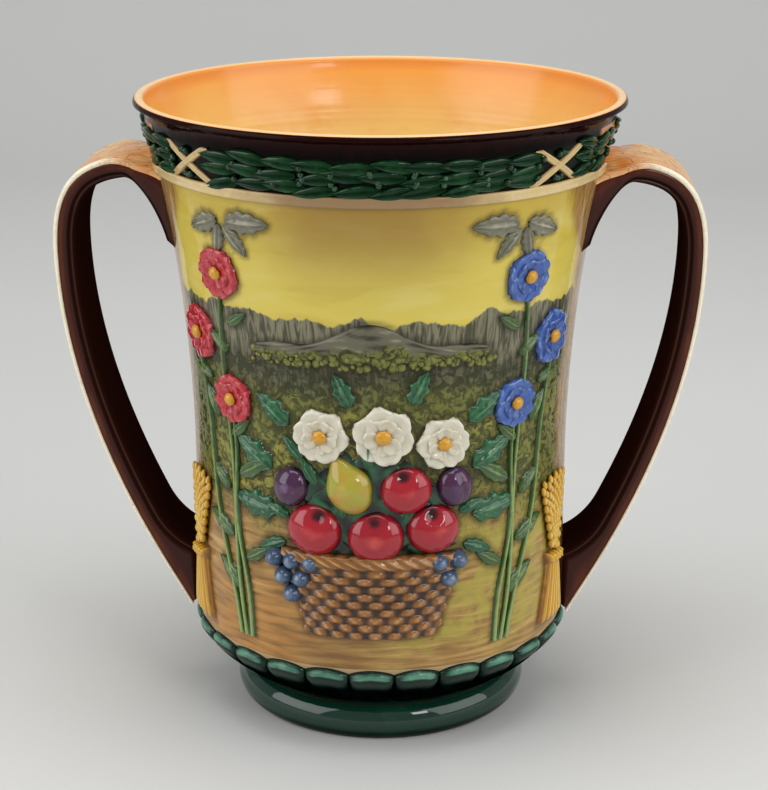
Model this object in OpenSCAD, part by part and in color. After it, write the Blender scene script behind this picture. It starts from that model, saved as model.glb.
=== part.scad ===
// A two-handled loving cup in relief-decorated pottery, in the clay pieces it is put together from.
// The axis is Z, the table is at z = 0, the front faces -Y and the handles lie along X.

/* [Vessel] */
// Height of the cup from the table to the top of the lip
cup_h = 265; // [250:1:300]
// Radius of the straight lower wall
wall_r = 79.8; // [74:0.2:88]
// Thickness of the wall and of the base
wall_t = 5; // [4:0.1:7]
// Height at which the wall begins to flare
flare_z = 110; // [90:1:130]
// Radius of the flare's long curve
flare_r = 617; // [520:1:800]
// Height at which the belly turns in under the wall
belly_z = 41; // [38:0.5:46]
// Radius of the belly's curve
belly_r = 55; // [50:0.5:60]
// Lean of the belly where it leaves the wall
belly_tilt = 28; // [24:1:32]

/* [Lip] */
// Height of the hollow moulding under the lip
lip_h = 10.5; // [8:0.1:13]
// How far the lip stands out past the line of the wall
lip_out = 2.2; // [1:0.1:4]
// Thickness of the rounded lip
lip_t = 5; // [4:0.1:6]

/* [Foot] */
// How far the foot's widest line lies inside the wall
foot_in = 16.4; // [14:0.1:19]
// Width of the foot ring from its widest line to its hollow
foot_w = 18.4; // [14:0.1:22]
// Depth of the groove between the foot and the gadroons
foot_gap = 2; // [1:0.1:3]

/* [Gadroons] */
// Number of lobes round the base
lobe_n = 26; // [18:1:32]
// Height of a lobe over the collar
lobe_h = 3.2; // [2:0.1:4.5]
// Thickness of the collar in the grooves between lobes
collar_t = 0.9; // [0.6:0.1:1.6]
// How much lower the collar's edge lies between lobes, in degrees of the belly's curve
scallop = 3; // [0:0.5:5]
// How far the collar's lower edge lies inside the foot's widest line
collar_in = 4.9; // [3:0.1:6]

/* [Laurel band] */
// Height of the laurel band
band_h = 14; // [12:0.5:16]
// Length of a laurel leaf
laurel_l = 16.5; // [12:0.5:18]
// Width of a laurel leaf
laurel_w = 5.6; // [4:0.1:6]
// Height of a laurel leaf's midrib over the wall
laurel_h = 2.2; // [1.4:0.1:3]
// Spacing of the leaves along the band
laurel_pitch = 14.5; // [11:0.5:18]
// Radius of a berry
berry_r = 1.5; // [1:0.1:2]
// Direction of the crossed ribbons, in degrees from the front
cross_a = 50; // [44:1:56]
// Length of a crossed ribbon pair along the band
cross_w = 25; // [20:1:28]
// Width of a ribbon
ribbon_w = 3.6; // [2.5:0.1:5]
// Thickness of a ribbon
ribbon_t = 2.4; // [1.6:0.1:3]
// Height of the flat moulding under the band
moulding_h = 4.8; // [3.5:0.1:6]
// Thickness of the flat moulding
moulding_t = 1.8; // [1.2:0.1:2.5]

/* [Handles] */
// How far a handle stands out past the straight wall
handle_reach = 55.2; // [46:0.2:64]
// How far the top of a handle's root lies below the lip
root_drop = 22.5; // [18:0.5:26]
// Height of a handle's root on the wall
root_h = 39.5; // [32:0.5:44]
// How far the hollow under a root runs out along the handle
root_run = 12; // [8:0.5:18]
// How far the edges of a root droop below its crown
root_droop = 9; // [4:0.5:11]
// Width of a handle's root on the wall
root_w = 50; // [44:0.5:54]
// How far a handle's furthest point lies below its root
elbow_drop = 40; // [34:1:52]
// Width of a handle at its shoulder
handle_w = 42; // [36:0.5:46]
// Width of a handle at its tail
tail_w = 35; // [30:0.5:40]
// How much a handle's tail swells into the wall
tail_swell = 45; // [20:1:60]
// Thickness of a handle with its strap
handle_t = 9; // [8:0.1:12]
// Thickness of the pale strap
strap_t = 2; // [1.6:0.1:3]
// How far the strap stands out past the side of the handle
strap_over = 0.5; // [0:0.1:1]

/* [Relief panels] */
// Height of the basket's foot
basket_z = 56; // [50:0.5:64]
// Height of the basket
basket_h = 36; // [30:0.5:42]
// Width of the basket at its rim
basket_w = 76; // [66:0.5:84]
// Width of the basket at its foot
basket_foot_w = 54; // [44:0.5:60]
// Relief of the basket at its middle
basket_t = 5.5; // [4:0.1:7]
// Relief of the fruit
fruit_t = 7; // [5:0.1:9]
// Relief of flowers
flower_t = 4.2; // [3:0.1:6]
// Relief of leaves and stems
leaf_t = 2.6; // [1.8:0.1:3.5]
// Relief of the distant hills
hill_t = 1.6; // [1:0.1:2.2]

/* [Fit] */
// Thickness of the film of slip between two pieces
slip = 0.15; // [0.1:0.01:0.25]

/* [Hidden] */

// Facets round a turned piece, and steps along a curve of its profile
turn_fn = 90;
arc_steps = 12;
// Facets round the wall, and steps up it, where a sprig's back is trimmed to it
seat_fn = 48;
seat_steps = 4;
// How far a sprig's clay reaches past the wall's surface before it is trimmed to it
bed = 0.1;

// Belly, base and foot
belly_cx = wall_r - belly_r * cos(belly_tilt);
belly_cz = belly_z + belly_r * sin(belly_tilt);
base_z = belly_cz - belly_r;
foot_r = wall_r - foot_in;
collar_low_r = foot_r - collar_in;
collar_low = acos((collar_low_r - belly_cx) / belly_r);
collar_low_t = collar_t + 0.45 * lobe_h;
collar_low_z = belly_cz - (belly_r + collar_low_t) * sin(collar_low);
foot_top = collar_low_z - foot_gap;
foot_roll = foot_top / 2 + 1.5;
foot_neck_r = collar_low_r - foot_gap;

// Lip, laurel band and moulding
lip_edge_r = wall_at(cup_h) + lip_out;
lip_cz = cup_h - lip_t / 2;
cove_z = cup_h - lip_h;
band_z = cove_z - band_h;
band_mid = band_z + band_h / 2;
moulding_z = band_z - moulding_h;
cross_half = degrees_of(cross_w / 2, wall_at(band_mid));
lip_ease = 12;

// Handles: heights and places on the line of the strap's outer face
root_z = cup_h - root_drop;
elbow_z = root_z - elbow_drop;
elbow_r = wall_r + handle_reach;
tail_z = belly_z + 1;
tail_r = wall_r + strap_t + 2 * slip;
root_a = asin((root_w / 2 + strap_over + 3 * slip) / wall_at(moulding_z));
shoulder_steps = 9;
shank_steps = 9;

// Relief panels: the basket's rim, coils and the steps round it, and how far its rim stands out
basket_rim = basket_z + basket_h;
coils = 4;
basket_steps = 9;
rim_t = 1;

// The line of distant hills: half its length, how far its foot clears the basket's rim, the rise of its
// skyline and the steps along it
hills_half = 50;
heap_h = 80;
hills_z = basket_rim + heap_h;
hills_rise = 17;
hills_steps = 12;

// Where the sprays of flowers spring from, the height from there to the moulding, and a sheaf's middle
spray_foot_z = belly_z + 7;
spray_h = moulding_z - spray_foot_z;
sheaf_u = 93;
sheaf_z = spray_foot_z + 26;
sheaf_w = 13;

function wall_at(z) =
    z <= flare_z ? wall_r : wall_r + flare_r - sqrt(pow(flare_r, 2) - pow(z - flare_z, 2));

function degrees_of(length, r) = length / r * 180 / PI;

function mix(p, q, t) = p + (q - p) * t;

function steps(n) = [for (i = [0 : n]) i / n];

function arc(c, r, a0, a1, n = arc_steps) =
    [for (t = steps(n)) c + r * [cos(mix(a0, a1, t)), sin(mix(a0, a1, t))]];

// The outer line of the wall from one height to another
function wall_line(z0, z1, n = arc_steps) =
    [for (t = steps(n)) let (z = mix(z0, z1, t)) [wall_at(z), z]];

// The inner line of the wall, eased out to the lip
function inner_at(z) =
    let (
        lip_in = lip_edge_r - lip_t - wall_at(lip_cz) + wall_t,
        t = max(0, (z - lip_cz + lip_h + lip_ease) / (lip_h + lip_ease))
    )
    wall_at(z) - wall_t + lip_in * t * t;

// A point on the wall: a degrees round from the front, at height z, h outside the surface
function on_wall(a, z, h = 0) =
    let (r = wall_at(z) + h)
    [r * sin(a), -r * cos(a), z];

// A place on the wall: u millimetres round from the front, at height z
function place(u, z) = [degrees_of(u, wall_at(z)), z];

// A point of a sprig at a place: u and v are millimetres along its own axes, turned on the wall
function on_sprig(at, turn, u, v, h) =
    let (
        across = u * cos(turn) - v * sin(turn),
        up = u * sin(turn) + v * cos(turn)
    )
    on_wall(at[0] + degrees_of(across, wall_at(at[1])), at[1] + up, h);

function heading(p, q) = atan2(q[1] - p[1], (q[0] - p[0]) * PI / 180 * wall_at(p[1]));

// Triangles of a tube of m rings with n points each, closed at both ends
function tube_faces(m, n) = [
    for (i = [0 : m - 2], j = [0 : n - 1])
        let (a = i * n + j, b = i * n + (j + 1) % n)
        each [[a, b, b + n], [a, b + n, a + n]],
    for (j = [1 : n - 2]) [0, j + 1, j],
    for (j = [1 : n - 2]) [(m - 1) * n, (m - 1) * n + j, (m - 1) * n + j + 1]
];

// Triangles of a ring of m by n points that closes both ways
function loop_faces(m, n) = [
    for (i = [0 : m - 1], j = [0 : n - 1])
        let (
            a = i * n + j,
            b = i * n + (j + 1) % n,
            c = ((i + 1) % m) * n + (j + 1) % n,
            d = ((i + 1) % m) * n + j
        )
        each [[a, c, b], [a, d, c]]
];

function bezier(p, t) =
    pow(1 - t, 3) * p[0] + 3 * t * pow(1 - t, 2) * p[1] + 3 * t * t * (1 - t) * p[2] + pow(t, 3) * p[3];

function bezier_slope(p, t) =
    pow(1 - t, 2) * (p[1] - p[0]) + 2 * t * (1 - t) * (p[2] - p[1]) + t * t * (p[3] - p[2]);

// Handle lines

shoulder_line = [
    [wall_at(root_z), root_z],
    [mix(wall_at(root_z), elbow_r, 0.39), root_z - 3.2],
    [elbow_r, mix(root_z, elbow_z, 0.02)],
    [elbow_r, elbow_z]
];
shank_line = [
    [elbow_r, elbow_z],
    [elbow_r, mix(elbow_z, tail_z, 0.48)],
    [wall_r + 0.19 * handle_reach, mix(elbow_z, tail_z, 0.9)],
    [tail_r, tail_z]
];

// Stations along a handle: the line they lie on, the place on it and the share of the way to the tail
handle_stations = concat(
    [for (t = steps(shoulder_steps)) let (u = pow(t, 1.6)) [shoulder_line, u, 0.4 * u]],
    [for (t = steps(shank_steps)) if (t > 0) [shank_line, t, 0.4 + 0.6 * t]]
);

// How much of the root's spread is left at a station
function spread(s) = pow(max(0, 1 - s / 0.2), 2);

function strap_w_at(s) =
    mix(handle_w, tail_w, s) + (root_w - handle_w) * spread(s) + 2 * strap_over;

// How far the edges of a handle lie below its crown at a station
function droop(s) = root_droop * pow(max(0, 1 - s / 0.06), 2);

// Thickness at a station: hollowed out to the wall at the root, and swelling into it at the tail
function handle_t_at(station) =
    let (
        p = bezier(station[0], station[1]),
        slope = bezier_slope(station[0], station[1]),
        near = max(0, min(1, (wall_at(root_z) + root_run - p[0]) / root_run)),
        root = station[2] < 0.4 ? (root_h - handle_t) * (1 - sqrt(1 - near * near)) : 0,
        tail = tail_swell * pow(max(0, (station[2] - 0.77) / 0.23), 2),
        to_wall = station[2] < 0.4 ? root_h : (p[0] - wall_r) * norm(slope) / -slope[1] + 3
    )
    min(handle_t + root + tail, to_wall);

// The nearest clay may come to the axis beside the wall, at a height and a distance from the middle
function wall_limit(y, z) = sqrt(pow(wall_at(z) + slip, 2) - y * y);

// A section point: a share of the half width across the handle and n inwards from its outer line,
// kept off the wall, with a share of the root's droop
function on_handle(station, across, half, n, sag, to_wall = false) =
    let (
        p = bezier(station[0], station[1]),
        slope = bezier_slope(station[0], station[1]),
        inward = [slope[1], -slope[0]] / norm(slope),
        q = p + (n + sag * droop(station[2]) * across * across) * inward,
        y = across * half,
        limit = wall_limit(y, q[1])
    )
    [to_wall ? limit : max(q[0], limit), y, q[1]];

// Rings that close a root against the wall, shrinking towards its middle
function root_rings(ring) =
    let (mid = [for (k = [0 : 2]) (min([for (p = ring) p[k]]) + max([for (p = ring) p[k]])) / 2])
    [
        for (share = [0.15, 0.45, 0.75])
            [
                for (p = ring)
                    let (y = mid[1] + share * (p[1] - mid[1]), z = mid[2] + share * (p[2] - mid[2]))
                    [wall_limit(y, z), y, z]
            ]
    ];

// Half sections, as shares of the half width and of the thickness
core_section = [[1, 0], [1, 0.4], [0.97, 0.72], [0.84, 1], [0.42, 1], [0, 1]];
strap_section = [[1, 1], [1, 0.35], [0.94, 0], [0.45, -0.15], [0, -0.2]];

function both_sides(half) = concat(half, [for (i = [len(half) - 2 : -1 : 0]) [-half[i][0], half[i][1]]]);

function core_ring(station, to_wall) = [
    for (e = both_sides(core_section))
        on_handle(
            station,
            e[0],
            strap_w_at(station[2]) / 2 - strap_over,
            mix(strap_t + slip, handle_t_at(station), e[1]),
            1 - e[1],
            to_wall
        )
];

function strap_ring(station, to_wall) = [
    for (e = both_sides(strap_section))
        on_handle(station, e[0], strap_w_at(station[2]) / 2, e[1] * strap_t, 1, to_wall)
];

// Turned pieces

module body() {
    inner_r = belly_r - wall_t;
    inner_turn = acos((wall_r - wall_t - belly_cx) / inner_r);
    cove = [
        for (t = steps(6))
            [
                mix(wall_at(cove_z), lip_edge_r, 1 - cos(90 * t)),
                mix(cove_z, lip_cz, sin(90 * t))
            ]
    ];
    color("goldenrod")
    rotate_extrude($fn = turn_fn)
    polygon(concat(
        [[0, base_z]],
        arc([belly_cx, belly_cz], belly_r, -90, -belly_tilt),
        [[wall_r, flare_z]],
        wall_line(flare_z, cove_z),
        cove,
        arc([lip_edge_r - lip_t / 2, lip_cz], lip_t / 2, 0, 180),
        [for (t = steps(2 * arc_steps)) if (t > 0) let (z = mix(lip_cz, flare_z, t)) [inner_at(z), z]],
        arc([belly_cx, belly_cz], inner_r, -inner_turn, -90),
        [[0, base_z + wall_t]]
    ));
}

module foot() {
    roll_c = [foot_r - foot_roll, foot_top / 2];
    roll_a = asin(foot_top / 2 / foot_roll);
    color("seagreen")
    rotate_extrude($fn = turn_fn)
    difference() {
        polygon(concat(
            [[foot_r - foot_w, 0]],
            arc(roll_c, foot_roll, -roll_a, roll_a),
            [[foot_neck_r, foot_top], [foot_neck_r, belly_cz], [foot_r - foot_w, belly_cz]]
        ));
        translate([belly_cx, belly_cz])
        circle(belly_r + slip, $fn = turn_fn);
        translate([0, base_z - slip])
        square([belly_cx, belly_r]);
    }
}

module gadroon_collar() {
    // Shares across one lobe, and rows down the collar: the share of its length and whether outside
    across = [for (k = [0 : 3]) -cos(45 * k)];
    rows = [[0, 0], [0.04, 1], [0.14, 1], [0.4, 1], [0.75, 1], [1, 1], [1, 0], [0.67, 0], [0.33, 0]];
    // The inner rows lie far enough out for the chords between them to clear the belly
    seat_r = (belly_r + slip) / cos((collar_low - belly_tilt) / 6);
    columns = [for (i = [0 : lobe_n - 1], u = across) [(i + u / 2) * 360 / lobe_n, u]];
    points = [
        for (row = rows, column = columns)
            let (
                s = row[0],
                u = column[1],
                edge = s < 0.14 ? sqrt(1 - pow(1 - s / 0.14, 2)) : 1,
                lobe = collar_t + lobe_h * sqrt(1 - u * u) * (1 - 0.55 * s),
                r = seat_r + row[1] * edge * lobe,
                turn = mix(belly_tilt + 0.4 + scallop * u * u, collar_low, s),
                out = belly_cx + r * cos(turn)
            )
            [out * sin(column[0]), -out * cos(column[0]), belly_cz - r * sin(turn)]
    ];
    color("seagreen")
    polyhedron(points, loop_faces(len(rows), len(columns)));
}

// The flat moulding, from one handle root to the other
module neck_moulding() {
    span = 180 - 2 * root_a;
    foot_edge = moulding_z + 0.2 * moulding_h;
    head_edge = band_z - 0.2 * moulding_h;
    color("burlywood")
    rotate([0, 0, -90 - span / 2])
    rotate_extrude(angle = span, $fn = turn_fn)
    polygon([
        [wall_at(moulding_z) + slip, moulding_z],
        [wall_at(moulding_z) + 0.6 * moulding_t, moulding_z],
        [wall_at(foot_edge) + moulding_t, foot_edge],
        [wall_at(head_edge) + moulding_t, head_edge],
        [wall_at(band_z) + 0.6 * moulding_t, band_z],
        [wall_at(band_z) + slip, band_z]
    ]);
}

// Sprigs

// The space that the wall takes up, with the film of slip on it
module wall_envelope() {
    around = 1 / cos(180 / seat_fn);
    rotate_extrude($fn = seat_fn)
    polygon(concat(
        [[0, belly_z], [wall_r * around + slip, belly_z]],
        [for (p = wall_line(flare_z, cup_h, seat_steps)) [p[0] * around + slip, p[1]]],
        [[0, cup_h]]
    ));
}

module lump(points) {
    hull()
    polyhedron(points, [[for (i = [0 : len(points) - 1]) i]]);
}

module seated() {
    difference() {
        union()
        children();
        wall_envelope();
    }
}

// A leaf from its stalk to its tip, with a raised midrib
module leaf(at, turn, l, w, h) {
    outline = [[0, 0.14], [0.3, 0.5], [0.66, 0.4], [1, 0.03]];
    lump([
        for (e = outline, side = [-1, 1]) on_sprig(at, turn, e[0] * l, side * e[1] * w, -bed),
        on_sprig(at, turn, 0.25 * l, 0, h),
        on_sprig(at, turn, 0.72 * l, 0, 0.75 * h)
    ]);
}

// A round fruit, berry or flower heart
module boss(at, r, h, sides = 6) {
    lump([
        for (ring = [[1, -bed], [0.72, 0.74 * h]], i = [0 : sides - 1])
            on_sprig(at, i * 360 / sides, ring[0] * r, 0, ring[1]),
        on_sprig(at, 0, 0, 0, h)
    ]);
}

module berry(at, r, h) {
    lump([
        for (ring = [[1, -bed], [0.7, 0.8 * h]], i = [0 : 4])
            on_sprig(at, i * 72, ring[0] * r, 0, ring[1]),
        on_sprig(at, 0, 0, 0, h)
    ]);
}

// An open flower: petals round a heart
module flower(at, r, h, petals = 5) {
    outline = [[0.33, 0.14], [0.7, 0.36], [1, 0.2]];
    for (i = [0 : petals - 1]) {
        turn = i * 360 / petals + 90;
        lump([
            for (e = outline, side = [-1, 1]) on_sprig(at, turn, e[0] * r, side * e[1] * r, -bed),
            on_sprig(at, turn, 0.66 * r, 0, 0.8 * h)
        ]);
    }
    berry(at, 0.27 * r, h);
}

// A rounded strip along places on the wall
module strip(places, w, h) {
    for (i = [0 : len(places) - 2]) {
        turn = heading(places[i], places[i + 1]);
        lump([
            for (p = [places[i], places[i + 1]], e = [[-0.5, -bed], [0.5, -bed], [-0.32, h], [0.32, h]])
                on_sprig(p, turn, 0, e[0] * w, e[1])
        ]);
    }
}

// A bent stem from one place to another
module stem(from, to, sag, w) {
    places = [
        for (t = steps(2))
            place(mix(from[0], to[0], t) + sag * sin(180 * t), mix(from[1], to[1], t))
    ];
    strip(places, w, 0.7 * leaf_t);
}

// Laurel band

// A length of the band from one crossed ribbon to the next, or to a handle's root, with leaves in
// three rows and berries between them
module garland(from, to, to_cross, over_root = 0) {
    row_gap = (band_h - laurel_w) / 2;
    pitch = degrees_of(laurel_pitch, wall_at(band_mid));
    leaf_a = degrees_of(laurel_l, wall_at(band_mid));
    color("darkgreen")
    seated()
    for (row = [-1 : 0.5 : 1]) {
        across = ribbon_w + abs(row) * row_gap / (band_h - ribbon_w) * cross_w;
        clear = degrees_of(across, wall_at(band_mid));
        start = from + clear;
        end = to_cross ? to - clear : to + (row > 0.5 ? over_root : 0);
        z = band_mid + row * row_gap;
        gaps = max(1, round((end - start - leaf_a) / pitch));
        for (i = [0 : gaps])
            if (row == round(row))
                leaf([end - i * (end - start - leaf_a) / gaps, z], 180, laurel_l, laurel_w, laurel_h);
            else if (i % 2 == (row > 0 ? 0 : 1))
                berry([end - (i + 0.5) * (end - start - leaf_a) / gaps, z], berry_r, laurel_h);
    }
}

module long_garland() {
    garland(-cross_a, cross_a, true);
}

module short_garland() {
    garland(cross_a, 90 - root_a, false, root_a);
}

// One ribbon laid across the band on the wall
module ribbon(side, h) {
    lean = atan2(band_h - ribbon_w, side * cross_w);
    rings = [
        for (t = steps(4))
            let (
                at = [
                    cross_a + side * mix(-cross_half, cross_half, t),
                    mix(band_z + ribbon_w / 2, cove_z - ribbon_w / 2, t)
                ]
            )
            [
                for (e = [[-0.5, slip], [-0.36, h], [0.36, h], [0.5, slip]])
                    on_sprig(at, lean, 0, e[0] * ribbon_w, e[1])
            ]
    ];
    polyhedron([for (ring = rings) each ring], tube_faces(len(rings), 4));
}

module ribbon_cross() {
    color("burlywood") {
        ribbon(1, ribbon_t);
        ribbon(-1, 0.85 * ribbon_t);
    }
}

// Handles

module handle() {
    count = len(handle_stations);
    tail = [shank_line, 0.985, 0.99];
    root = core_ring(handle_stations[0], true);
    rings = concat(
        root_rings(root),
        [root],
        [for (i = [1 : count - 2]) core_ring(handle_stations[i], false)],
        [core_ring(tail, false)]
    );
    color("saddlebrown")
    polyhedron([for (ring = rings) each ring], tube_faces(len(rings), len(rings[0])));
}

module strap() {
    count = len(handle_stations);
    root = strap_ring(handle_stations[0], true);
    rings = concat(
        root_rings(root),
        [root],
        [for (i = [1 : count - 1]) strap_ring(handle_stations[i], false)]
    );
    color("wheat")
    polyhedron([for (ring = rings) each ring], tube_faces(len(rings), len(rings[0])));
}

// Relief panels

// The skyline over one place: two swells, which die away at both ends
function skyline(t) = hills_rise * (0.25 + 0.75 * sin(180 * t)) * (0.78 + 0.22 * cos(720 * t));

module hills() {
    rings = [
        for (t = steps(hills_steps))
            let (u = mix(-hills_half, hills_half, t), rise = skyline(t))
            [
                for (e = [[0, slip], [0.12, 0.7 * hill_t], [0.8, hill_t], [1, slip]])
                    let (p = place(u, hills_z + e[0] * rise))
                    on_wall(p[0], p[1], e[1])
            ]
    ];
    color("darkkhaki")
    polyhedron([for (ring = rings) each ring], tube_faces(len(rings), 4));
}

// A row of the basket's coils up one line of it: shares of its height, and of its relief there
function coil_rows(u, filled) = [
    for (k = [0 : coils - 1]) each [
        if (k > 0 && !filled) [k / coils, mix(0.6, 1, u * u)],
        [(k + 0.25) / coils, 1],
        [(k + 0.75) / coils, 1]
    ]
];

// A coiled basket, widest at its rim, which dies away into the wall at both sides. Filled, it has no
// hollows between its coils, as what lies against it needs
module basket(filled = false) {
    rings = [
        for (t = steps(basket_steps))
            let (
                u = mix(-1, 1, t),
                full = basket_t * sqrt(1 - 0.94 * u * u),
                rim = rim_t * (1 - u * u)
            )
            [
                for (e = concat([[0, 0]], coil_rows(u, filled), [[1, 0]]))
                    let (
                        half = mix(basket_foot_w, basket_w, e[0]) / 2,
                        p = place(u * half, basket_z + e[0] * basket_h),
                        over_rim = e[0] > (coils - 1) / coils ? rim : 0
                    )
                    on_wall(p[0], p[1], e[1] > 0 ? e[1] * full + over_rim : slip)
            ]
    ];
    color("peru")
    polyhedron([for (ring = rings) each ring], tube_faces(len(rings), len(rings[0])));
}

// Fruit in the basket: place along the wall, height over the rim and radius
apples = [[-23, 9, 11.5], [2, 7, 11.5], [25, 10, 11], [14, 27, 10.5]];
pears = [[-9, 26, 9.5]];
plums = [[-33, 26, 7.5], [34, 27, 7.5]];

// Bunches of grapes hanging over the rim: place, height over the rim and rows of berries
bunches = [[-32, -5, [3, 2, 1]], [31, -4, [2, 1]]];
grape_r = 4.2;

module fruit_lumps() {
    for (f = concat(apples, plums))
        boss(place(f[0], basket_rim + f[1]), f[2], fruit_t * (0.6 + 0.035 * f[2]));
    for (f = pears) {
        at = place(f[0], basket_rim + f[1]);
        boss(at, f[2], fruit_t);
        boss([at[0] - 2, at[1] + 0.95 * f[2]], 0.6 * f[2], 0.8 * fruit_t);
    }
    for (bunch = bunches, row = [0 : len(bunch[2]) - 1], i = [0 : bunch[2][row] - 1])
        berry(
            place(
                bunch[0] + (i - (bunch[2][row] - 1) / 2) * 1.9 * grape_r,
                basket_rim + bunch[1] - row * 1.7 * grape_r
            ),
            grape_r,
            basket_t + 1.5
        );
}

module fruit() {
    color("firebrick")
    difference() {
        seated()
        fruit_lumps();
        basket(filled = true);
    }
}

module pale_flower_lumps() {
    for (f = [[-20, 49, 12.5], [5, 50, 13.5], [29, 46, 12]])
        flower(place(f[0], basket_rim + f[1]), f[2], flower_t, 6);
}

module pale_flowers() {
    color("ivory")
    difference() {
        seated()
        pale_flower_lumps();
        fruit_lumps();
    }
}

// Leaves round the heap: place, height over the rim, turn and length
vine_leaf_places = [
    [-40, 14, 172, 22], [42, 14, 8, 22], [-42, 32, 148, 21], [42, 34, 32, 21],
    [-34, 52, 140, 18], [40, 54, 35, 18], [-8, 62, 115, 15], [16, 63, 65, 15]
];

module vine_leaves() {
    color("forestgreen")
    difference() {
        seated()
        for (f = vine_leaf_places)
            leaf(place(f[0], basket_rim + f[1]), f[2], f[3], 0.5 * f[3], leaf_t);
        fruit_lumps();
        pale_flower_lumps();
        basket(filled = true);
    }
}

// A spray of flowers on bent stems, which grows up one side of the panel: feet along the wall, flowers
// as place, share of the spray's height and radius, and leaves as place, height over the feet and turn
spray_feet = [53, 56.5, 60];
spray_heads = [[62, 0.543, 11.5], [67, 0.826, 12], [84, 0.671, 12.5]];
spray_leaves = [[59, 20, 35], [64, 42, 25], [59, 70, 150]];

module spray() {
    for (i = [0 : len(spray_heads) - 1]) {
        f = spray_heads[i];
        head_z = spray_foot_z + f[1] * spray_h;
        stem([spray_feet[i], spray_foot_z], [f[0], head_z - 1.05 * f[2]], 2, 2.4);
        flower(place(f[0], head_z), f[2], flower_t);
    }
    for (f = spray_leaves)
        leaf(place(f[0], spray_foot_z + f[1]), f[2], 18, 7.5, leaf_t);
}

module red_spray() {
    color("crimson")
    seated()
    mirror([1, 0, 0])
    spray();
}

module blue_spray() {
    color("royalblue")
    seated()
    spray();
}

// A sheaf of corn: a skirt of straw, a tie and a head of ears
module sheaf() {
    tie_at = place(sheaf_u, sheaf_z);
    // The skirt's corners: height over the tie, share of the sheaf's width, and relief
    skirt = [[0, 0.42, -bed], [-29, 0.95, -bed], [-6, 0.2, 1.3 * leaf_t], [-24, 0.6, leaf_t]];
    lump([
        for (side = [-1, 1], e = skirt)
            on_sprig(tie_at, 0, side * e[1] * sheaf_w, e[0], e[2])
    ]);
    for (i = [-1 : 1])
        leaf(tie_at, 90 - 17 * i, 37, 8, 1.5 * leaf_t);
    strip([for (side = [-1, 1]) place(sheaf_u + side * sheaf_w / 2, sheaf_z)], 5, 1.9 * leaf_t);
}

module sheaves() {
    color("khaki")
    seated() {
        sheaf();
        mirror([1, 0, 0])
        sheaf();
    }
}

// Leaves at the panel's upper corners: place, depth under the moulding, turn and length
corner_leaf_places = [[61, 9.7, 178, 21], [66, 9.7, -18, 19], [62, 11.7, -130, 15], [65, 11.7, -75, 14]];

module corner_leaves() {
    color("darkgray")
    seated()
    for (side = [0, 1])
        mirror([side, 0, 0])
        for (f = corner_leaf_places)
            leaf(place(f[0], moulding_z - f[1]), f[2], f[3], 0.45 * f[3], leaf_t);
}

module back() {
    rotate([0, 0, 180])
    children();
}

module left() {
    mirror([1, 0, 0])
    children();
}

module rear() {
    mirror([0, 1, 0])
    children();
}

body();
foot();
gadroon_collar();
neck_moulding();  // neck_moulding_front
back() neck_moulding();  // neck_moulding_back
long_garland();  // garland_front
back() long_garland();  // garland_back
left() short_garland();  // garland_front_left
short_garland();  // garland_front_right
back() short_garland();  // garland_back_left
rear() short_garland();  // garland_back_right
left() ribbon_cross();  // ribbon_front_left
ribbon_cross();  // ribbon_front_right
back() ribbon_cross();  // ribbon_back_left
rear() ribbon_cross();  // ribbon_back_right
left() handle();  // handle_left
handle();  // handle_right
left() strap();  // strap_left
strap();  // strap_right
hills();  // hills_front
basket();  // basket_front
fruit();  // fruit_front
vine_leaves();  // vine_leaves_front
pale_flowers();  // pale_flowers_front
red_spray();  // red_spray_front
blue_spray();  // blue_spray_front
sheaves();  // sheaves_front
corner_leaves();  // corner_leaves_front
back() hills();  // hills_back
back() basket();  // basket_back
back() fruit();  // fruit_back
back() vine_leaves();  // vine_leaves_back
back() pale_flowers();  // pale_flowers_back
back() red_spray();  // red_spray_back
back() blue_spray();  // blue_spray_back
back() sheaves();  // sheaves_back
back() corner_leaves();  // corner_leaves_back
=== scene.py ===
"""Dresses a two-handled, relief-decorated loving cup over its packed clay pieces."""

import logging
import math
import random
from collections.abc import Callable, Sequence
from dataclasses import dataclass, field
from enum import Enum
from typing import NamedTuple

import bmesh
import bpy
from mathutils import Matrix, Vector, kdtree


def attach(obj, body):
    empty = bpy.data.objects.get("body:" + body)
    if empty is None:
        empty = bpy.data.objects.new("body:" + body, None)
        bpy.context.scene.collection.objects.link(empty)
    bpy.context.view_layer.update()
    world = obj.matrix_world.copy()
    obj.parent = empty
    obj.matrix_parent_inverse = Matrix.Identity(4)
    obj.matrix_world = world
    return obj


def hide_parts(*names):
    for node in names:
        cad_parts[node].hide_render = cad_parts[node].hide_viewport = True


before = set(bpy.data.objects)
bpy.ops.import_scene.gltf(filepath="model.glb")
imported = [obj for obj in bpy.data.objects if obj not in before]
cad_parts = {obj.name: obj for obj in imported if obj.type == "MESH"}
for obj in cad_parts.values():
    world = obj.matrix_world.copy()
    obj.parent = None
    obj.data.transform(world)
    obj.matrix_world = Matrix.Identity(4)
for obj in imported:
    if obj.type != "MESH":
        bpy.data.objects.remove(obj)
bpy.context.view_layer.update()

LOG = logging.getLogger("loving_cup")
BODY = "root"
MM = 0.001
PER_METRE = 1000.0
SINK = 0.35  # how far a sprig's edge goes into the wall
MERGE = 0.002  # how close two points of a seam lie
WEAR = 0.08  # how much the roughness of a glaze varies
COAT_FADE = 0.15  # how much relief the edge of a clear coat takes
BAND_SEED = 7
PANEL_SEED = 11

Colour = tuple[float, float, float, float]
Point = tuple[float, float]
Profile = Sequence[Point]


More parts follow.
